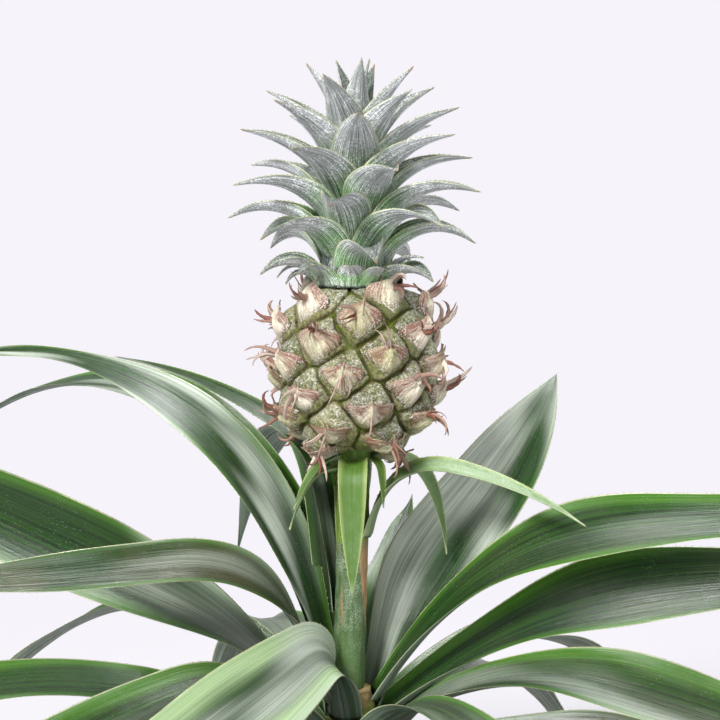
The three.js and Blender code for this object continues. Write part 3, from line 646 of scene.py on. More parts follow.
def perlite(tree, _colours):
    blotch = blotches_on(tree, object_place(tree), 260.0)
    chalk = mix(tree, blotch["Broad"], colour(228, 226, 216), colour(190, 184, 168))
    return dict(colour=chalk, roughness=between(tree, blotch["Small"], 0.8, 0.95), height=blotch["Grain"], bump=0.6)


def rosette_materials(gloss):
    upper = material("Rosette leaf upper face, gloss %.2f" % gloss, rosette_upper, gloss)
    return [upper, material("Rosette leaf under face", rosette_under), material("Margin teeth", margin_teeth)]


def stalk_leaf_materials():
    upper = material("Stalk leaf upper face", stalk_blade_face, True)
    return [upper, material("Stalk leaf under face", stalk_blade_face, False), material("Margin teeth", margin_teeth)]


def crown_materials():
    upper = material("Crown leaf upper face", crown_blade_face, True)
    return [upper, material("Crown leaf under face", crown_blade_face, False), material("Margin teeth", margin_teeth)]


# ---- Mesh tools ----


def blank():
    """An empty bmesh with a UV map and a tone and a seed for every point."""
    bm = bmesh.new()
    bm.loops.layers.uv.new("UVMap")
    bm.verts.layers.float_color.new("tone")
    bm.verts.layers.float.new("seed")
    return bm


def mapped_grid(bm, columns, rows, place, tag=None, material_index=0):
    """A grid whose points go to place(x, y), with x and y from 0 to 1. tag(x, y) gives what its UV map holds."""
    uv = bm.loops.layers.uv["UVMap"]
    made = bmesh.ops.create_grid(bm, x_segments=columns, y_segments=rows, size=0.5)["verts"]
    shares = {vert: (vert.co.x + 0.5, vert.co.y + 0.5) for vert in made}
    faces = {face for vert in made for face in vert.link_faces}
    for face in faces:
        face.material_index = material_index(face) if callable(material_index) else material_index
        face.smooth = True
        for loop in face.loops:
            loop[uv].uv = tag(*shares[loop.vert]) if tag else shares[loop.vert]
    for vert, share in shares.items():
        vert.co = place(*share)
    return made


def weld(bm, verts, reach=1e-4):
    bmesh.ops.remove_doubles(bm, verts=verts, dist=reach)


def marked(bm, verts, tone, seed):
    """Keeps a tone and a seed on every point of a blade."""
    tone_layer, seed_layer = bm.verts.layers.float_color["tone"], bm.verts.layers.float["seed"]
    for vert in verts:
        vert[tone_layer] = (*tone, 1.0)
        vert[seed_layer] = seed


def add_piece(name, bm, materials, replaces=()):
    """Turns a bmesh in millimetres into a piece of the plant."""
    bmesh.ops.recalc_face_normals(bm, faces=bm.faces[:])
    bmesh.ops.scale(bm, vec=(MM, MM, MM), verts=bm.verts[:])
    mesh = bpy.data.meshes.new(name)
    bm.to_mesh(mesh)
    bm.free()
    for made in materials:
        mesh.materials.append(made)
    piece = bpy.data.objects.new(name, mesh)
    bpy.context.scene.collection.objects.link(piece)
    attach(piece, "root")
    if replaces:
        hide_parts(*replaces)
    return piece


# ---- Blades ----


def spine(blade, count):
    """The line that a blade follows: share, place, the way it runs, its side and the normal of its upper face."""
    place = Vector(blade["foot"])
    rise, run, fall = blade["rise"], blade["run"], blade["fall"]

    def heading(s):
        slope = math.radians(rise + (run - rise) * smoothstep(s, *blade["knee"]) + (fall - run) * s)
        plan = math.radians(blade["turn"] + blade.get("sweep", 0) * s)
        along = Vector((math.cos(slope) * math.cos(plan), math.cos(slope) * math.sin(plan), math.sin(slope)))
        return along, Vector((-math.sin(plan), math.cos(plan), 0))

    stations = []
    for i in range(count + 1):
        s = i / count
        along, side = heading(s)
        roll = math.radians(blade.get("roll", 0)) * smoothstep(s, 0, blade.get("rolled", 0.5))
        side.rotate(Quaternion(along, roll))
        stations.append((s, place.copy(), along, side, along.cross(side)))
        place += heading(s + 0.5 / count)[0] * (blade["length"] / count)
    return stations


def half_width(blade, s):
    spread = lerp(blade["foot_half"], blade["width"] / 2, smoothstep(s, 0, 0.4))
    return spread * max(0.0, 1 - s ** blade.get("point", 2.4)) ** 1.1


def blade_point(blade, station, u, face):
    """A point of a blade, at u from -1 to 1 across it. face is 1 for the upper face and -1 for the lower one."""
    s, place, _along, side, up = station
    half = half_width(blade, s)
    channel = lerp(blade["foot_channel"], blade["channel"], smoothstep(s, 0, 0.2))
    thick = 0 if s in (0, 1) else lerp(blade["thick"], TIP_THICKNESS, s)
    ruffle = blade.get("ruffle", 0) * u * u * smoothstep(s, 0.1, 0.3)
    wave = ruffle * math.sin(s * WAVE["turns"] + u * WAVE["skew"])
    ripple = blade.get("ripple", 0) * (1 - u * u) * math.sin(u * 9 + blade["seed"]) * smoothstep(s, 0, 0.15) * (1 - s)
    lift = half * (1 - math.cos(channel * u)) / channel + wave + ripple + face * thick * (1 - u * u) / 2
    return place + side * (half * math.sin(channel * u) / channel) + up * lift


def add_blade(bm, blade, count, ring):
    """A closed channelled blade, with its upper face in material 0 and its under face in material 1."""
    stations = spine(blade, count)

    def across(x):
        return -math.cos(2 * math.pi * x)

    def place(x, y):
        return blade_point(blade, stations[round(y * count)], across(x), 1 if x < 0.5 else -1)

    def under(face):
        return int(sum(vert.co.x for vert in face.verts) / len(face.verts) > 0)

    made = mapped_grid(bm, ring, count, place, lambda x, y: ((across(x) + 1) / 2, y), under)
    marked(bm, made, blade["tone"], blade["seed"])
    weld(bm, made)
    return stations


def add_teeth(bm, blade, stations, length, step, start, material_index):
    """Small forward-pointing teeth along both margins of a blade."""
    count = len(stations) - 1
    teeth = int(blade["length"] * (0.985 - start) / step)
    made = []
    for side_sign in (-1, 1):
        for k in range(teeth):
            s = start + (0.985 - start) * (k + 0.3 + 0.5 * chance(k, blade["seed"] + side_sign)) / teeth
            station = stations[min(count - 1, round(s * count))]
            ahead = stations[min(count, round(s * count) + 1)]
            share = s * count - round(s * count)
            edge = blade_point(blade, station, side_sign, 1)
            edge = edge.lerp(blade_point(blade, ahead, side_sign, 1), max(0, share))
            _, _, along, side, up = station
            channel = blade["channel"]
            outward = (side * (side_sign * math.cos(channel)) + up * math.sin(channel)).normalized()
            size = length * drawn(0.7, 1.15, k, blade["seed"] + 4)
            size *= 0.45 + 0.55 * min(1, half_width(blade, s) / 4)
            way = (outward + along * 0.75).normalized()
            turned = Vector((0, 0, 1)).rotation_difference(way).to_matrix().to_4x4()
            matrix = Matrix.Translation(edge + way * size * 0.38) @ turned
            cone = bmesh.ops.create_cone(
                bm, cap_ends=True, segments=3, radius1=size * 0.34, radius2=0, depth=size * 1.2, matrix=matrix
            )
            made.extend(cone["verts"])
    for face in {face for vert in made for face in vert.link_faces}:
        face.material_index = material_index
    marked(bm, made, blade["tone"], blade["seed"])


def stem_radius(height):
    share = (height - STEM["waist"]) / (STEM["top"] - STEM["waist"])
    return lerp(STEM["waist_radius"], STEM["top_radius"], share)


def rosette_blade(row, index):
    height = lerp(ROSETTE_TOP, ROSETTE_FOOT, index / (len(ROSETTE) - 1))
    clasp = stem_radius(height) + 1.3
    plan = math.radians(row["turn"])
    return dict(
        foot=(clasp * math.cos(plan), clasp * math.sin(plan), height),
        foot_half=clasp * 0.8,
        foot_channel=1.0,
        channel=0.5,
        thick=2,
        ruffle=1.2,
        ripple=0.25,
        seed=index * 1.7,
        **row,
    )


def stalk_centre(height):
    share = (height - STEM["top"]) / (STALK["top"] - STEM["top"])
    return Vector((STALK["lean"] * (share - 1) + 1, 0, height))


def stalk_leaf_blade(row, index):
    thick = 1
    clasp = STALK["radius"] + 0.6 + thick / 2 * math.sin(math.radians(row["rise"]))
    plan = math.radians(row["turn"])
    foot = stalk_centre(row["height"]) + Vector((math.cos(plan), math.sin(plan), 0)) * clasp
    return dict(
        foot=foot,
        foot_half=min(clasp * 0.9, row["width"] / 2),
        foot_channel=0.9,
        channel=0.6,
        thick=thick,
        seed=40 + index * 2.3,
        **row,
    )


def crown_stage(t):
    above = next(i for i, stage in enumerate(CROWN_STAGES) if i > 0 and stage["t"] >= t)
    low, high = CROWN_STAGES[above - 1], CROWN_STAGES[above]
    share = (t - low["t"]) / (high["t"] - low["t"])
    return {key: lerp(low[key], high[key], share) for key in low}


def crown_blade(index):
    stage = crown_stage(index / (CROWN["leaves"] - 1))
    turn = CROWN["first_turn"] + index * SPIRAL
    inside = lerp(CROWN["foot_radius"], CROWN["top_radius"], stage["t"]) - 1.5
    sunk = 4.5 * (1 - smoothstep(stage["t"], 0, 0.15))
    height = CROWN["foot"] + 2.5 + (CROWN["height"] - 4) * stage["t"] - sunk
    plan = math.radians(turn)
    t = stage.pop("t")
    return dict(
        stage,
        turn=turn,
        foot=(CROWN["lean"] + inside * math.cos(plan), inside * math.sin(plan), height),
        run=lerp(stage["rise"], stage["fall"], 0.35),
        knee=(0.1, 0.9),
        roll=drawn(-7, 7, index, 11),
        sweep=drawn(-8, 8, index, 12),
        foot_half=lerp(0.9 * inside, stage["width"] * 0.42, t),
        foot_channel=1,
        channel=1.1,
        thick=1.4,
        point=1.7,
        ripple=0.12,
        seed=80 + index * 1.3,
        tone=(chance(index, 13), chance(index, 14), 0.3),
    )


def crown_scale(index):
    """One of the short broad leaves that close round the foot of the crown."""
    turn = CROWN["first_turn"] + (index + drawn(-0.15, 0.15, index, 15)) * 360 / CROWN["scales"]
    plan = math.radians(turn)
    inside = CROWN["foot_radius"] - 0.4
    return dict(
        turn=turn,
        foot=(CROWN["lean"] + inside * math.cos(plan), inside * math.sin(plan), CROWN["foot"] + 0.2),
        rise=drawn(56, 80, index, 16),
        run=drawn(10, 50, index, 17),
        fall=drawn(-70, 10, index, 18),
        knee=(0.15, 0.9),
        length=drawn(13, 22, index, 19),
        width=drawn(11, 16, index, 20),
        foot_half=6.5,
        foot_channel=0.5,
        channel=0.8,
        thick=0.9,
        point=1.5,
        ripple=0.1,
        seed=140 + index * 1.3,
        tone=(chance(index, 23), chance(index, 24), 0.3),
    )


# ---- Fruit ----


def barrel_point(turn, rise):
    squareness = FRUIT["squareness"]
    radius = FRUIT["radius"] * max(0.0, 1 - abs(rise) ** squareness) ** (1 / squareness)
    middle = FRUIT["foot"] + FRUIT["height"] / 2
    x, y = FRUIT["lean"] + radius * math.cos(turn), radius * math.sin(turn)
    return Vector((x, y, middle + rise * FRUIT["height"] / 2))


def barrel_normal(turn, rise):
    step = 0.01
    around = barrel_point(turn + step, rise) - barrel_point(turn - step, rise)
    upward = barrel_point(turn, min(0.999, rise + step)) - barrel_point(turn, max(-0.999, rise - step))
    return around.cross(upward).normalized()


def fruit_eyes():
    """The eyes in their spiral, each with its place and the directions that a piece on it is laid out by."""
    eyes = []
    for i in range(FRUIT["eyes"]):
        rise = 0.97 * ((i + 0.5) * 2 / FRUIT["eyes"] - 1)
        turn = math.radians(FRUIT["first_turn"] + i * SPIRAL)
        out = barrel_normal(turn, rise)
        side = Vector((-math.sin(turn), math.cos(turn), 0))
        up = out.cross(side).normalized()
        eyes.append(dict(rise=rise, place=barrel_point(turn, rise), out=out, side=side, up=up))
    return eyes


def add_fruit_skin(bm, eyes):
    """A closed skin with a mound for each eye, of three sepals that meet, and a groove where two eyes meet."""
    tree = KDTree(len(eyes))
    for i, eye in enumerate(eyes):
        tree.insert(eye["place"], i)
    tree.balance()
    noise.seed_set(FRUIT["seed"])  # without it noise_vector starts from the clock
    layer = bm.verts.layers.float_color.new("eye")
    made = bmesh.ops.create_uvsphere(bm, u_segments=260, v_segments=140, radius=1)["verts"]
    floor = STALK["top"] + 0.3
    lid = CROWN["foot"] - 0.3
    for vert in made:
        turn, rise = math.atan2(vert.co.y, vert.co.x), max(-1.0, min(1.0, vert.co.z))
        point = barrel_point(turn, rise)
        sought = point + noise.noise_vector(point * 0.16) * 1.5
        (_, index, near), (_, _, next_near) = tree.find_n(sought, 2)
        eye = eyes[index]
        offset = point - eye["place"]
        x, y = offset.dot(eye["side"]), offset.dot(eye["up"])
        border = smoothstep(next_near - near, 0, EYE["groove"])
        mound = 0.5 + 0.5 * max(0, 1 - (near / EYE["reach"]) ** 2)
        bearing = math.atan2(y - 0.6, x)
        crease = abs(math.sin(1.5 * (bearing - math.radians(90 + 20 * (chance(index, 22) - 0.5)))))
        sepal = max(0, 1 - math.hypot(x, y - 1.2) / EYE["sepals"])
        rough = 0.5 * noise.noise(point * 0.35) + 0.28 * noise.noise(point * 0.9) + 0.16 * noise.noise(point * 2.3)
        raised = EYE["rise"] * mound * border**0.6 + 2.4 * sepal - 2.0 * sepal * (1 - crease) ** 3 + rough * border
        normal = barrel_normal(turn, rise) if abs(rise) < 0.999 else Vector((0, 0, math.copysign(1, rise)))
        point = point + normal * raised
        from_axis = math.hypot(point.x - FRUIT["lean"], point.y)
        if point.z < floor and from_axis < 9:
            point.z = lerp(floor, point.z, smoothstep(from_axis, 6.8, 9))
        point.z = min(point.z, lid + 1.5 * smoothstep(from_axis, 16, 19))
        # White frosting on the upper half of each eye; the frost is cut to 0.65 in the sepal creases as painted shade
        # there.
        frost = border * smoothstep(y, -2.5, 1.5) * (0.65 + 0.35 * crease)
        vert[layer] = (border, frost, chance(index, 21), 1)
        vert.co = point
    for face in bm.faces:
        face.smooth = True


def add_bract(bm, eye, index, surface, curl):
    """The papery bract over the lower half of an eye, with raised wings and a tip that curls out and up."""
    corner = EYE["corner"] * drawn(0.94, 1.1, index, 31)
    high = smoothstep(eye["rise"], 0.35, 0.9)
    tip = drawn(4, 7, index, 32) + 3.5 * high
    curl = curl * drawn(0.5, 1.0, index, 33) * lerp(1, 1.3, high)
    lean = drawn(-2.2, 2.2, index, 34)
    place = eye["place"]

    def on_skin(x, y):
        start = place + eye["side"] * x + eye["up"] * y + eye["out"] * 14
        hit = surface.ray_cast(start, -eye["out"], 24)[0]
        return hit if hit else place + eye["side"] * x + eye["up"] * y

    def at(x, y):
        u = 2 * x - 1
        ragged = 0.6 * noise.noise(Vector((u * 3, y * 4, index * 5.3)))
        wide = corner * u * (0.88 * (1 - smoothstep(y, 0.12, 0.78)) + 0.12 * (1 - y))
        low = -(corner - 0.4) * (1 - abs(u) ** 1.25)
        rise = lerp(low, tip, y) + 1.6 * abs(u) ** 3 * (1 - y) * smoothstep(y, 0, 0.3)
        keel = 1.9 * (1 - abs(u)) ** 1.8 * math.sin(math.pi * min(1, y * 1.15))
        flare = (1.8 + ragged) * abs(u) ** 4 * math.sin(math.pi * y**0.6)
        lift = -0.5 + 0.8 * min(1, y * 6) + keel + flare + curl * y**2.6 + 0.4 * ragged * y
        point = on_skin(wide + lean * y * y + 0.5 * ragged * y, rise) + eye["out"] * lift + eye["up"] * (1.6 * y**4)
        away = Vector((point.x - FRUIT["lean"], point.y, 0))
        if point.z > CROWN["foot"] - 1.5 and away.length < CROWN["foot_radius"] + 2:
            point += away.normalized() * (CROWN["foot_radius"] + 2 - away.length)
        return point

    made = mapped_grid(bm, 20, 16, at)
    marked(bm, made, (0, 0, chance(index, 35)), 3.1 * index)
    weld(bm, made)


def add_strand(bm, start, way, bend_axis, length, bend, radius, index):
    """A thin flat strand that tapers and curls up towards its end."""
    steps, ring = 13, 6
    places, frames = [start.copy()], []
    heading = way.normalized()
    flat = heading.cross(bend_axis).normalized()
    for i in range(steps):
        share = i / steps
        turned = Quaternion(bend_axis, bend / steps * (0.3 + 2.1 * share * share))
        turned = turned @ Quaternion(heading, 0.9 / steps)
        heading = (turned @ heading).normalized()
        flat = (flat - heading * flat.dot(heading)).normalized()
        frames.append((heading, flat))
        places.append(places[-1] + heading * length / steps)
    frames.append(frames[-1])

    def at(x, y):
        i = round(y * steps)
        heading, flat = frames[i]
        thin = heading.cross(flat)
        size = radius * (1 - y) ** 0.6 * (0.75 + 0.5 * chance(index * 17 + i, 41))
        angle = 2 * math.pi * x
        return places[i] + flat * (size * math.cos(angle)) + thin * (size * 0.4 * math.sin(angle))

    made = mapped_grid(bm, ring, steps, at)
    marked(bm, made, (0, 0, chance(index, 42) ** 2), index * 0.9)
    weld(bm, made)
    ends = {edge for vert in made if vert.is_valid for edge in vert.link_edges if edge.is_boundary}
    bmesh.ops.holes_fill(bm, edges=list(ends), sides=0)


# ---- Pot and soil ----


def pot_inside(height):
    widening = (POT["neck"] - POT["base"]) / (POT["height"] - POT["rim_depth"] - POT["floor"])
    return POT["base"] - POT["wall"] + widening * (height - POT["floor"])


def rounded(corners):
    """A profile with each corner turned into an arc. Each corner is radius, height and rounding."""
    points = []
    for i, (x, z, rounding) in enumerate(corners):
        here = Vector((x, z))
        if not rounding:
            points.append(here)
            continue
        before = (Vector(corners[i - 1][:2]) - here).normalized()
        after = (Vector(corners[i + 1][:2]) - here).normalized()
        first, last = here + before * rounding, here + after * rounding
        for k in range(6):
            share = k / 5
            points.append(first.lerp(here, share).lerp(here.lerp(last, share), share))
    return points


def spun(bm, profile, steps):
    """A profile of radius and height turned round the upright axis and closed."""
    verts = [bm.verts.new((point.x, 0, point.y)) for point in profile]
    edges = [bm.edges.new(pair) for pair in zip(verts, verts[1:])]
    bmesh.ops.spin(
        bm, geom=verts + edges, cent=(0, 0, 0), axis=(0, 0, 1), angle=2 * math.pi, steps=steps, use_merge=True
    )
    bmesh.ops.remove_doubles(bm, verts=bm.verts[:], dist=1e-3)
    for face in bm.faces:
        face.smooth = True


def soil_lump(x, y):
    return math.sin(x * 0.31 + 1) * math.cos(y * 0.37) + 0.6 * math.sin(x * 0.83 + y * 0.59)


def soil_top(x, y):
    rough = 0.9 * noise.noise(Vector((x, y, 0)) * 0.22) + 0.5 * noise.noise(Vector((x, y, 5)) * 0.6)
    return SOIL["top"] + SOIL["relief"] * soil_lump(x, y) + rough


# ---- Operators ----


class PINEAPPLE_OT_pot(bpy.types.Operator):
    """Make the clay pot with its rolled rim and its drain holes"""

    bl_idname = "pineapple.pot"
    bl_label = "Pot"

    def execute(self, context):
        height, floor = POT["height"], POT["floor"]
        neck = height - POT["rim_depth"]
        corners = [
            (0, 0, 0),
            (POT["base"], 0, 2),
            (POT["neck"], neck, 0.6),
            (POT["rim"] - 1.2, neck, 1.4),
            (POT["rim"], height, 2.4),
            (pot_inside(height), height, 1.6),
            (pot_inside(floor), floor, 3),
            (0, floor, 0),
        ]
        bm = blank()
        spun(bm, rounded(corners), 128)
        pot = add_piece("clay_pot", bm, [material("Terracotta", terracotta)], ["pot"])
        drills = bmesh.new()
        for i in range(POT["holes"]):
            turn = (i + 0.5) * 2 * math.pi / POT["holes"]
            at = Matrix.Translation((POT["hole_ring"] * math.cos(turn), POT["hole_ring"] * math.sin(turn), 0))
            bmesh.ops.create_cone(
                drills, cap_ends=True, segments=32, radius1=POT["hole"], radius2=POT["hole"], depth=3 * floor, matrix=at
            )
        bmesh.ops.scale(drills, vec=(MM, MM, MM), verts=drills.verts[:])
        mesh = bpy.data.meshes.new("drills")
        drills.to_mesh(mesh)
        drills.free()
        cutter = bpy.data.objects.new("drills", mesh)
        context.scene.collection.objects.link(cutter)
        boolean = pot.modifiers.new("Drain holes", "BOOLEAN")
        boolean.object, boolean.operation, boolean.solver = cutter, "DIFFERENCE", "EXACT"
        context.view_layer.update()
        drilled = bpy.data.meshes.new_from_object(pot.evaluated_get(context.evaluated_depsgraph_get()))
        pot.modifiers.clear()
        pot.data = drilled
        bpy.data.objects.remove(cutter)
        return {"FINISHED"}


class PINEAPPLE_OT_soil(bpy.types.Operator):
    """Make the soil, with crumbs and bits of perlite on it"""

    bl_idname = "pineapple.soil"
    bl_label = "Soil"

    def execute(self, context):
        sizes = context.scene.pineapple_sizes
        hole, top, bed = SOIL["hole"], SOIL["top"], SOIL["bed"]
        brim = pot_inside(top) - 0.75
        profile = [(0, STEM["foot"] - 0.3), (hole, STEM["foot"] - 0.3), (hole, top)]
        rings = 30
        profile += [(lerp(hole, brim, (i + 1) / rings), top) for i in range(rings)]
        profile += [(pot_inside(bed) - 0.45, bed), (0, bed)]

        def at(x, y):
            radius, height = profile[round(y * (len(profile) - 1))]
            px, py = radius * math.cos(2 * math.pi * x), radius * math.sin(2 * math.pi * x)
            return Vector((px, py, soil_top(px, py) if height == top else height))

        bm = blank()
        weld(bm, mapped_grid(bm, 120, len(profile) - 1, at), 1e-3)
        add_piece("soil_bed", bm, [material("Potting soil", damp_soil)], ["soil"])
        draw = random.Random(7)
        bm = blank()
        for i in range(sizes.crumbs):
            size = sizes.crumb / MM / 2 * draw.uniform(0.3, 1) ** 1.5
            away = math.sqrt(draw.uniform((hole + 2) ** 2, (brim - 2.2) ** 2))
            turn = draw.uniform(0, 2 * math.pi)
            x, y = away * math.cos(turn), away * math.sin(turn)
            spin = Quaternion([draw.uniform(-1, 1) for _ in range(4)]).normalized().to_matrix().to_4x4()
            squash = Matrix.Diagonal((1, draw.uniform(0.6, 1), draw.uniform(0.4, 0.8), 1))
            matrix = Matrix.Translation((x, y, soil_top(x, y) + size * 0.15)) @ spin @ squash
            lump = bmesh.ops.create_icosphere(bm, subdivisions=1, radius=size, matrix=matrix)["verts"]
            for vert in lump:
                vert.co += Vector([draw.uniform(-0.2, 0.2) * size for _ in range(3)])
            for face in {face for vert in lump for face in vert.link_faces}:
                face.material_index = int(i % 9 == 0)
        materials = [material("Potting soil", damp_soil), material("Perlite", perlite)]
        add_piece("soil_crumbs", bm, materials)
        return {"FINISHED"}


class PINEAPPLE_OT_stem(bpy.types.Operator):
    """Make the short stem, ringed with leaf scars"""

    bl_idname = "pineapple.stem"
    bl_label = "Stem"

    def execute(self, context):
        rows = 60

        def at(x, y):
            height = lerp(STEM["foot"], STEM["top"], min(1, max(0, (y - 0.02) / 0.96)))
            if height < STEM["waist"]:
                share = smoothstep(height, STEM["foot"], lerp(STEM["foot"], STEM["waist"], 0.6))
                radius = lerp(STEM["foot_radius"], STEM["waist_radius"], share)
            else:
                radius = stem_radius(height)
            turn = 2 * math.pi * x
            scar = 0.35 * abs(math.sin(height * 0.95 + turn * 0.5)) ** 3
            radius = 0 if y in (0, 1) else radius - scar
            return Vector((radius * math.cos(turn), radius * math.sin(turn), height))

        bm = blank()
        weld(bm, mapped_grid(bm, 48, rows, at), 1e-3)
        add_piece("short_stem", bm, [material("Stem skin", stem_skin)], ["stem"])
        return {"FINISHED"}


class PINEAPPLE_OT_rosette(bpy.types.Operator):
    """Make the long toothed leaves of the rosette"""

    bl_idname = "pineapple.rosette"
    bl_label = "Rosette leaves"

    def execute(self, context):
        sizes = context.scene.pineapple_sizes
        for index, row in enumerate(ROSETTE):
            blade = rosette_blade(row, index)
            materials = rosette_materials(blade.get("gloss", LEAF_GLOSS))
            bm = blank()
            stations = add_blade(bm, blade, *ROSETTE_STEPS)
            add_teeth(bm, blade, stations, sizes.leaf_tooth / MM, sizes.leaf_tooth_step / MM, 0.12, 2)
            add_piece("rosette_leaf_%02d" % (index + 1), bm, materials, ["leaf_%02d" % (index + 1)])
        return {"FINISHED"}


class PINEAPPLE_OT_stalk(bpy.types.Operator):
    """Make the stalk that carries the fruit"""

    bl_idname = "pineapple.stalk"
    bl_label = "Stalk"

    def execute(self, context):
        rows = 110

        def at(x, y):
            height = lerp(STALK["foot"], STALK["top"], min(1, max(0, (y - 0.01) / 0.98)))
            turn = 2 * math.pi * x
            around = Vector((math.cos(turn), math.sin(turn), 0))
            centre = stalk_centre(height)
            rough = 0.35 * noise.noise((centre + around * 6) * 0.16) + 0.12 * noise.noise((centre + around * 6) * 0.7)
            radius = 0 if y in (0, 1) else STALK["radius"] + rough
            return centre + around * radius

        bm = blank()
        weld(bm, mapped_grid(bm, 56, rows, at), 1e-3)
        add_piece("fruit_stalk", bm, [material("Stalk skin", stalk_skin)], ["stalk"])
        return {"FINISHED"}


class PINEAPPLE_OT_stalk_leaves(bpy.types.Operator):
    """Make the narrow leaves on the stalk"""

    bl_idname = "pineapple.stalk_leaves"
    bl_label = "Stalk leaves"

    def execute(self, context):
        sizes = context.scene.pineapple_sizes
        for index, row in enumerate(STALK_LEAVES):
            blade = stalk_leaf_blade(row, index)
            materials = stalk_leaf_materials() if index else rosette_materials(LEAF_GLOSS)
            bm = blank()
            stations = add_blade(bm, blade, *STALK_LEAF_STEPS)
            add_teeth(bm, blade, stations, sizes.crown_tooth / MM, sizes.crown_tooth_step / MM * 1.4, 0.1, 2)
            name = "%02d" % (index + 1)
            add_piece("narrow_leaf_" + name, bm, materials, ["stalk_leaf_" + name])
        return {"FINISHED"}


class PINEAPPLE_OT_fruit(bpy.types.Operator):
    """Make the fruit: its skin of eyes, the papery bracts and the withered flowers"""

    bl_idname = "pineapple.fruit"
    bl_label = "Fruit"

    def execute(self, context):
        sizes = context.scene.pineapple_sizes
        eyes = fruit_eyes()
        bm = blank()
        add_fruit_skin(bm, eyes)
        surface = BVHTree.FromBMesh(bm)
        add_piece("pineapple_skin", bm, [material("Fruit skin", fruit_skin)], ["fruit"])
        bm = blank()
        for index, eye in enumerate(eyes):
            add_bract(bm, eye, index, surface, sizes.bract_curl / MM)
        bracts = add_piece("papery_bracts", bm, [material("Papery bract", papery_bract)])
        shell = bracts.modifiers.new("Thickness", "SOLIDIFY")
        shell.thickness, shell.offset = 0.00025, -1
        bm = blank()
        for index, eye in enumerate(eyes):
            if abs(eye["rise"]) > 0.96:
                continue
            sway = eye["side"] * drawn(-0.7, 0.7, index, 53) + eye["up"] * drawn(-0.9, 0.8, index, 54)
            foot = eye["place"] + eye["up"] * drawn(0.4, 2.4, index, 55) + eye["out"] * (EYE["rise"] + 0.2)
            curled = -1 if chance(index, 56) < 0.6 else 1
            for k in range(3 + int(chance(index, 51) * 3)):
                salt = 60 + 7 * k
                start = foot + eye["side"] * drawn(-0.5, 0.5, index, salt)
                start += eye["up"] * drawn(-0.5, 0.5, index, salt + 1)
                spread = eye["side"] * drawn(-0.5, 0.5, index, salt + 2)
                spread += eye["up"] * drawn(-0.4, 0.5, index, salt + 3)
                axis = (eye["side"] + eye["out"] * drawn(-0.9, 0.9, index, salt + 4)).normalized()
                bend = curled * drawn(0.6, 3.6, index, salt + 5)
                length = sizes.wisp / MM * drawn(0.55, 1.0, index, salt + 6)
                radius = drawn(0.9, 1.5, k + index, 52)
                add_strand(bm, start, eye["out"] + sway + spread, axis, length, bend, radius, index * 6 + k)
        add_piece("withered_flowers", bm, [material("Withered flower", withered_flower)])
        return {"FINISHED"}


class PINEAPPLE_OT_crown(bpy.types.Operator):
    """Make the crown: its core and its short toothed leaves"""

    bl_idname = "pineapple.crown"
    bl_label = "Crown"

    def execute(self, context):
        sizes = context.scene.pineapple_sizes
        bm = blank()
        foot, height = CROWN["foot"], CROWN["height"]

        def at(x, y):
            turn = 2 * math.pi * x
            share = min(1, max(0, (y - 0.05) / 0.9))
            radius = 0 if y in (0, 1) else lerp(CROWN["foot_radius"], CROWN["top_radius"], share)
            return Vector((CROWN["lean"] + radius * math.cos(turn), radius * math.sin(turn), foot + height * share))

        core = mapped_grid(bm, 32, 20, at, lambda x, y: (x, 0.5 + 0.3 * y))
        marked(bm, core, (0.2, 0.2, 0.2), 0)
        weld(bm, core, 1e-3)
        blades = [crown_blade(index) for index in range(CROWN["leaves"])]
        blades += [crown_scale(index) for index in range(CROWN["scales"])]
        for blade in blades:
            stations = add_blade(bm, blade, *CROWN_STEPS)
            add_teeth(bm, blade, stations, sizes.crown_tooth / MM, sizes.crown_tooth_step / MM, 0.2, 2)
        materials = crown_materials()
        add_piece("fruit_crown", bm, materials, ["crown"])
        return {"FINISHED"}


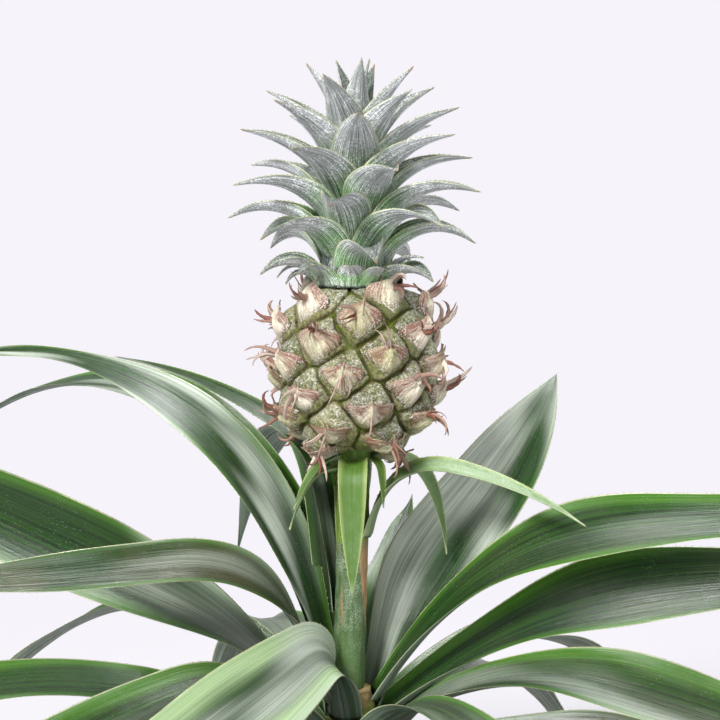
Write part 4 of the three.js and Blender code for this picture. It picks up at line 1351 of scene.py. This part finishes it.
class PINEAPPLE_OT_stage(bpy.types.Operator):
    """Set up the pale floor, the soft light and the camera"""

    bl_idname = "pineapple.stage"
    bl_label = "Stage"

    def execute(self, context):
        scene = context.scene
        backdrop = (*scene.pineapple_colours.backdrop, 1.0)
        world = bpy.data.worlds.new("Studio")
        world.use_nodes = True
        tree = world.node_tree
        tree.nodes.clear()
        seen = node(tree, "Background", {"Color": backdrop, "Strength": 1.0})
        upward = node(tree, "SeparateXYZ", {0: node(tree, "TexCoord").outputs["Generated"]}).outputs["Z"]
        strength = ramp(tree, upward, -0.5, 0.9, 0.3, 0.62)
        light = node(tree, "Background", {"Color": (0.97, 0.985, 1.0, 1.0), "Strength": strength})
        camera_ray = node(tree, "LightPath").outputs["Is Camera Ray"]
        both = node(tree, "MixShader", {0: camera_ray, 1: light.outputs[0], 2: seen.outputs[0]})
        output = tree.nodes.new("ShaderNodeOutputWorld")
        tree.links.new(both.outputs[0], output.inputs["Surface"])
        scene.world = world
        bm = bmesh.new()
        bmesh.ops.create_circle(bm, cap_ends=True, segments=96, radius=30)
        mesh = bpy.data.meshes.new("floor")
        bm.to_mesh(mesh)
        bm.free()
        made = bpy.data.materials.new("Pale floor")
        made.use_nodes = True
        tree = made.node_tree
        tree.nodes.clear()
        place = object_place(tree)
        away = node(tree, "VectorMath", {0: place}, operation="LENGTH").outputs["Value"]
        grain = noise_of(tree, place, 60.0)
        paper = mix(tree, grain, (0.44, 0.432, 0.452), (0.46, 0.452, 0.472))
        near = node(tree, "BsdfDiffuse", {"Color": paper, "Roughness": 0.8})
        far = node(tree, "Emission", {"Color": backdrop, "Strength": 1.0})
        fade = ramp(tree, away, 0.25, 0.75)
        both = node(tree, "MixShader", {0: fade, 1: near.outputs[0], 2: far.outputs[0]})
        output = tree.nodes.new("ShaderNodeOutputMaterial")
        tree.links.new(both.outputs[0], output.inputs["Surface"])
        mesh.materials.append(made)
        floor = bpy.data.objects.new("floor", mesh)
        scene.collection.objects.link(floor)
        for name, strength, spread, height, bearing in (
            ("Key light", 3.9, 14, 34, -30),
            ("Rim light", 3.2, 18, 60, 152),
            ("Fill light", 0.4, 50, 12, 32),
        ):
            sun = bpy.data.lights.new(name, "SUN")
            sun.energy, sun.angle = strength, math.radians(spread)
            lamp = bpy.data.objects.new(name, sun)
            up, round_by = math.radians(height), math.radians(bearing)
            toward = Vector((math.cos(up) * math.sin(round_by), -math.cos(up) * math.cos(round_by), math.sin(up)))
            lamp.rotation_euler = toward.to_track_quat("Z", "Y").to_euler()
            scene.collection.objects.link(lamp)
        lens = bpy.data.cameras.new("Camera")
        lens.lens, lens.sensor_width, lens.clip_end = 84.4, 36, 100
        camera = bpy.data.objects.new("Camera", lens)
        target = Vector((0.003, 0, 0.265))
        tilt = math.radians(6)
        away_from = Vector((0, -math.cos(tilt), math.sin(tilt)))
        camera.location = target + away_from * scene.pineapple_sizes.camera_distance
        camera.rotation_euler = away_from.to_track_quat("Z", "Y").to_euler()
        scene.collection.objects.link(camera)
        scene.camera = camera
        scene.view_settings.view_transform = "Standard"
        return {"FINISHED"}


OPERATORS = (
    PINEAPPLE_OT_pot,
    PINEAPPLE_OT_soil,
    PINEAPPLE_OT_stem,
    PINEAPPLE_OT_rosette,
    PINEAPPLE_OT_stalk,
    PINEAPPLE_OT_stalk_leaves,
    PINEAPPLE_OT_fruit,
    PINEAPPLE_OT_crown,
    PINEAPPLE_OT_stage,
)


class PINEAPPLE_PT_panel(bpy.types.Panel):
    bl_label = "Potted Pineapple Plant"
    bl_idname = "PINEAPPLE_PT_panel"
    bl_space_type = "VIEW_3D"
    bl_region_type = "UI"
    bl_category = "Pineapple"

    def draw(self, context):
        for made in OPERATORS:
            self.layout.operator(made.bl_idname)
        for settings in (context.scene.pineapple_sizes, context.scene.pineapple_colours):
            box = self.layout.box()
            for name in settings.__annotations__:
                box.prop(settings, name)


CLASSES = (PineappleSizes, PineappleColours, *OPERATORS, PINEAPPLE_PT_panel)


def register():
    for made in CLASSES:
        bpy.utils.register_class(made)
    bpy.types.Scene.pineapple_sizes = bpy.props.PointerProperty(type=PineappleSizes)
    bpy.types.Scene.pineapple_colours = bpy.props.PointerProperty(type=PineappleColours)


def unregister():
    del bpy.types.Scene.pineapple_colours
    del bpy.types.Scene.pineapple_sizes
    for made in reversed(CLASSES):
        bpy.utils.unregister_class(made)


def main():
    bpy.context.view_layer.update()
    register()
    bpy.ops.pineapple.pot()
    bpy.ops.pineapple.soil()
    bpy.ops.pineapple.stem()
    bpy.ops.pineapple.rosette()
    bpy.ops.pineapple.stalk()
    bpy.ops.pineapple.stalk_leaves()
    bpy.ops.pineapple.fruit()
    bpy.ops.pineapple.crown()
    bpy.ops.pineapple.stage()
    bpy.context.view_layer.update()


if __name__ == "__main__":
    main()
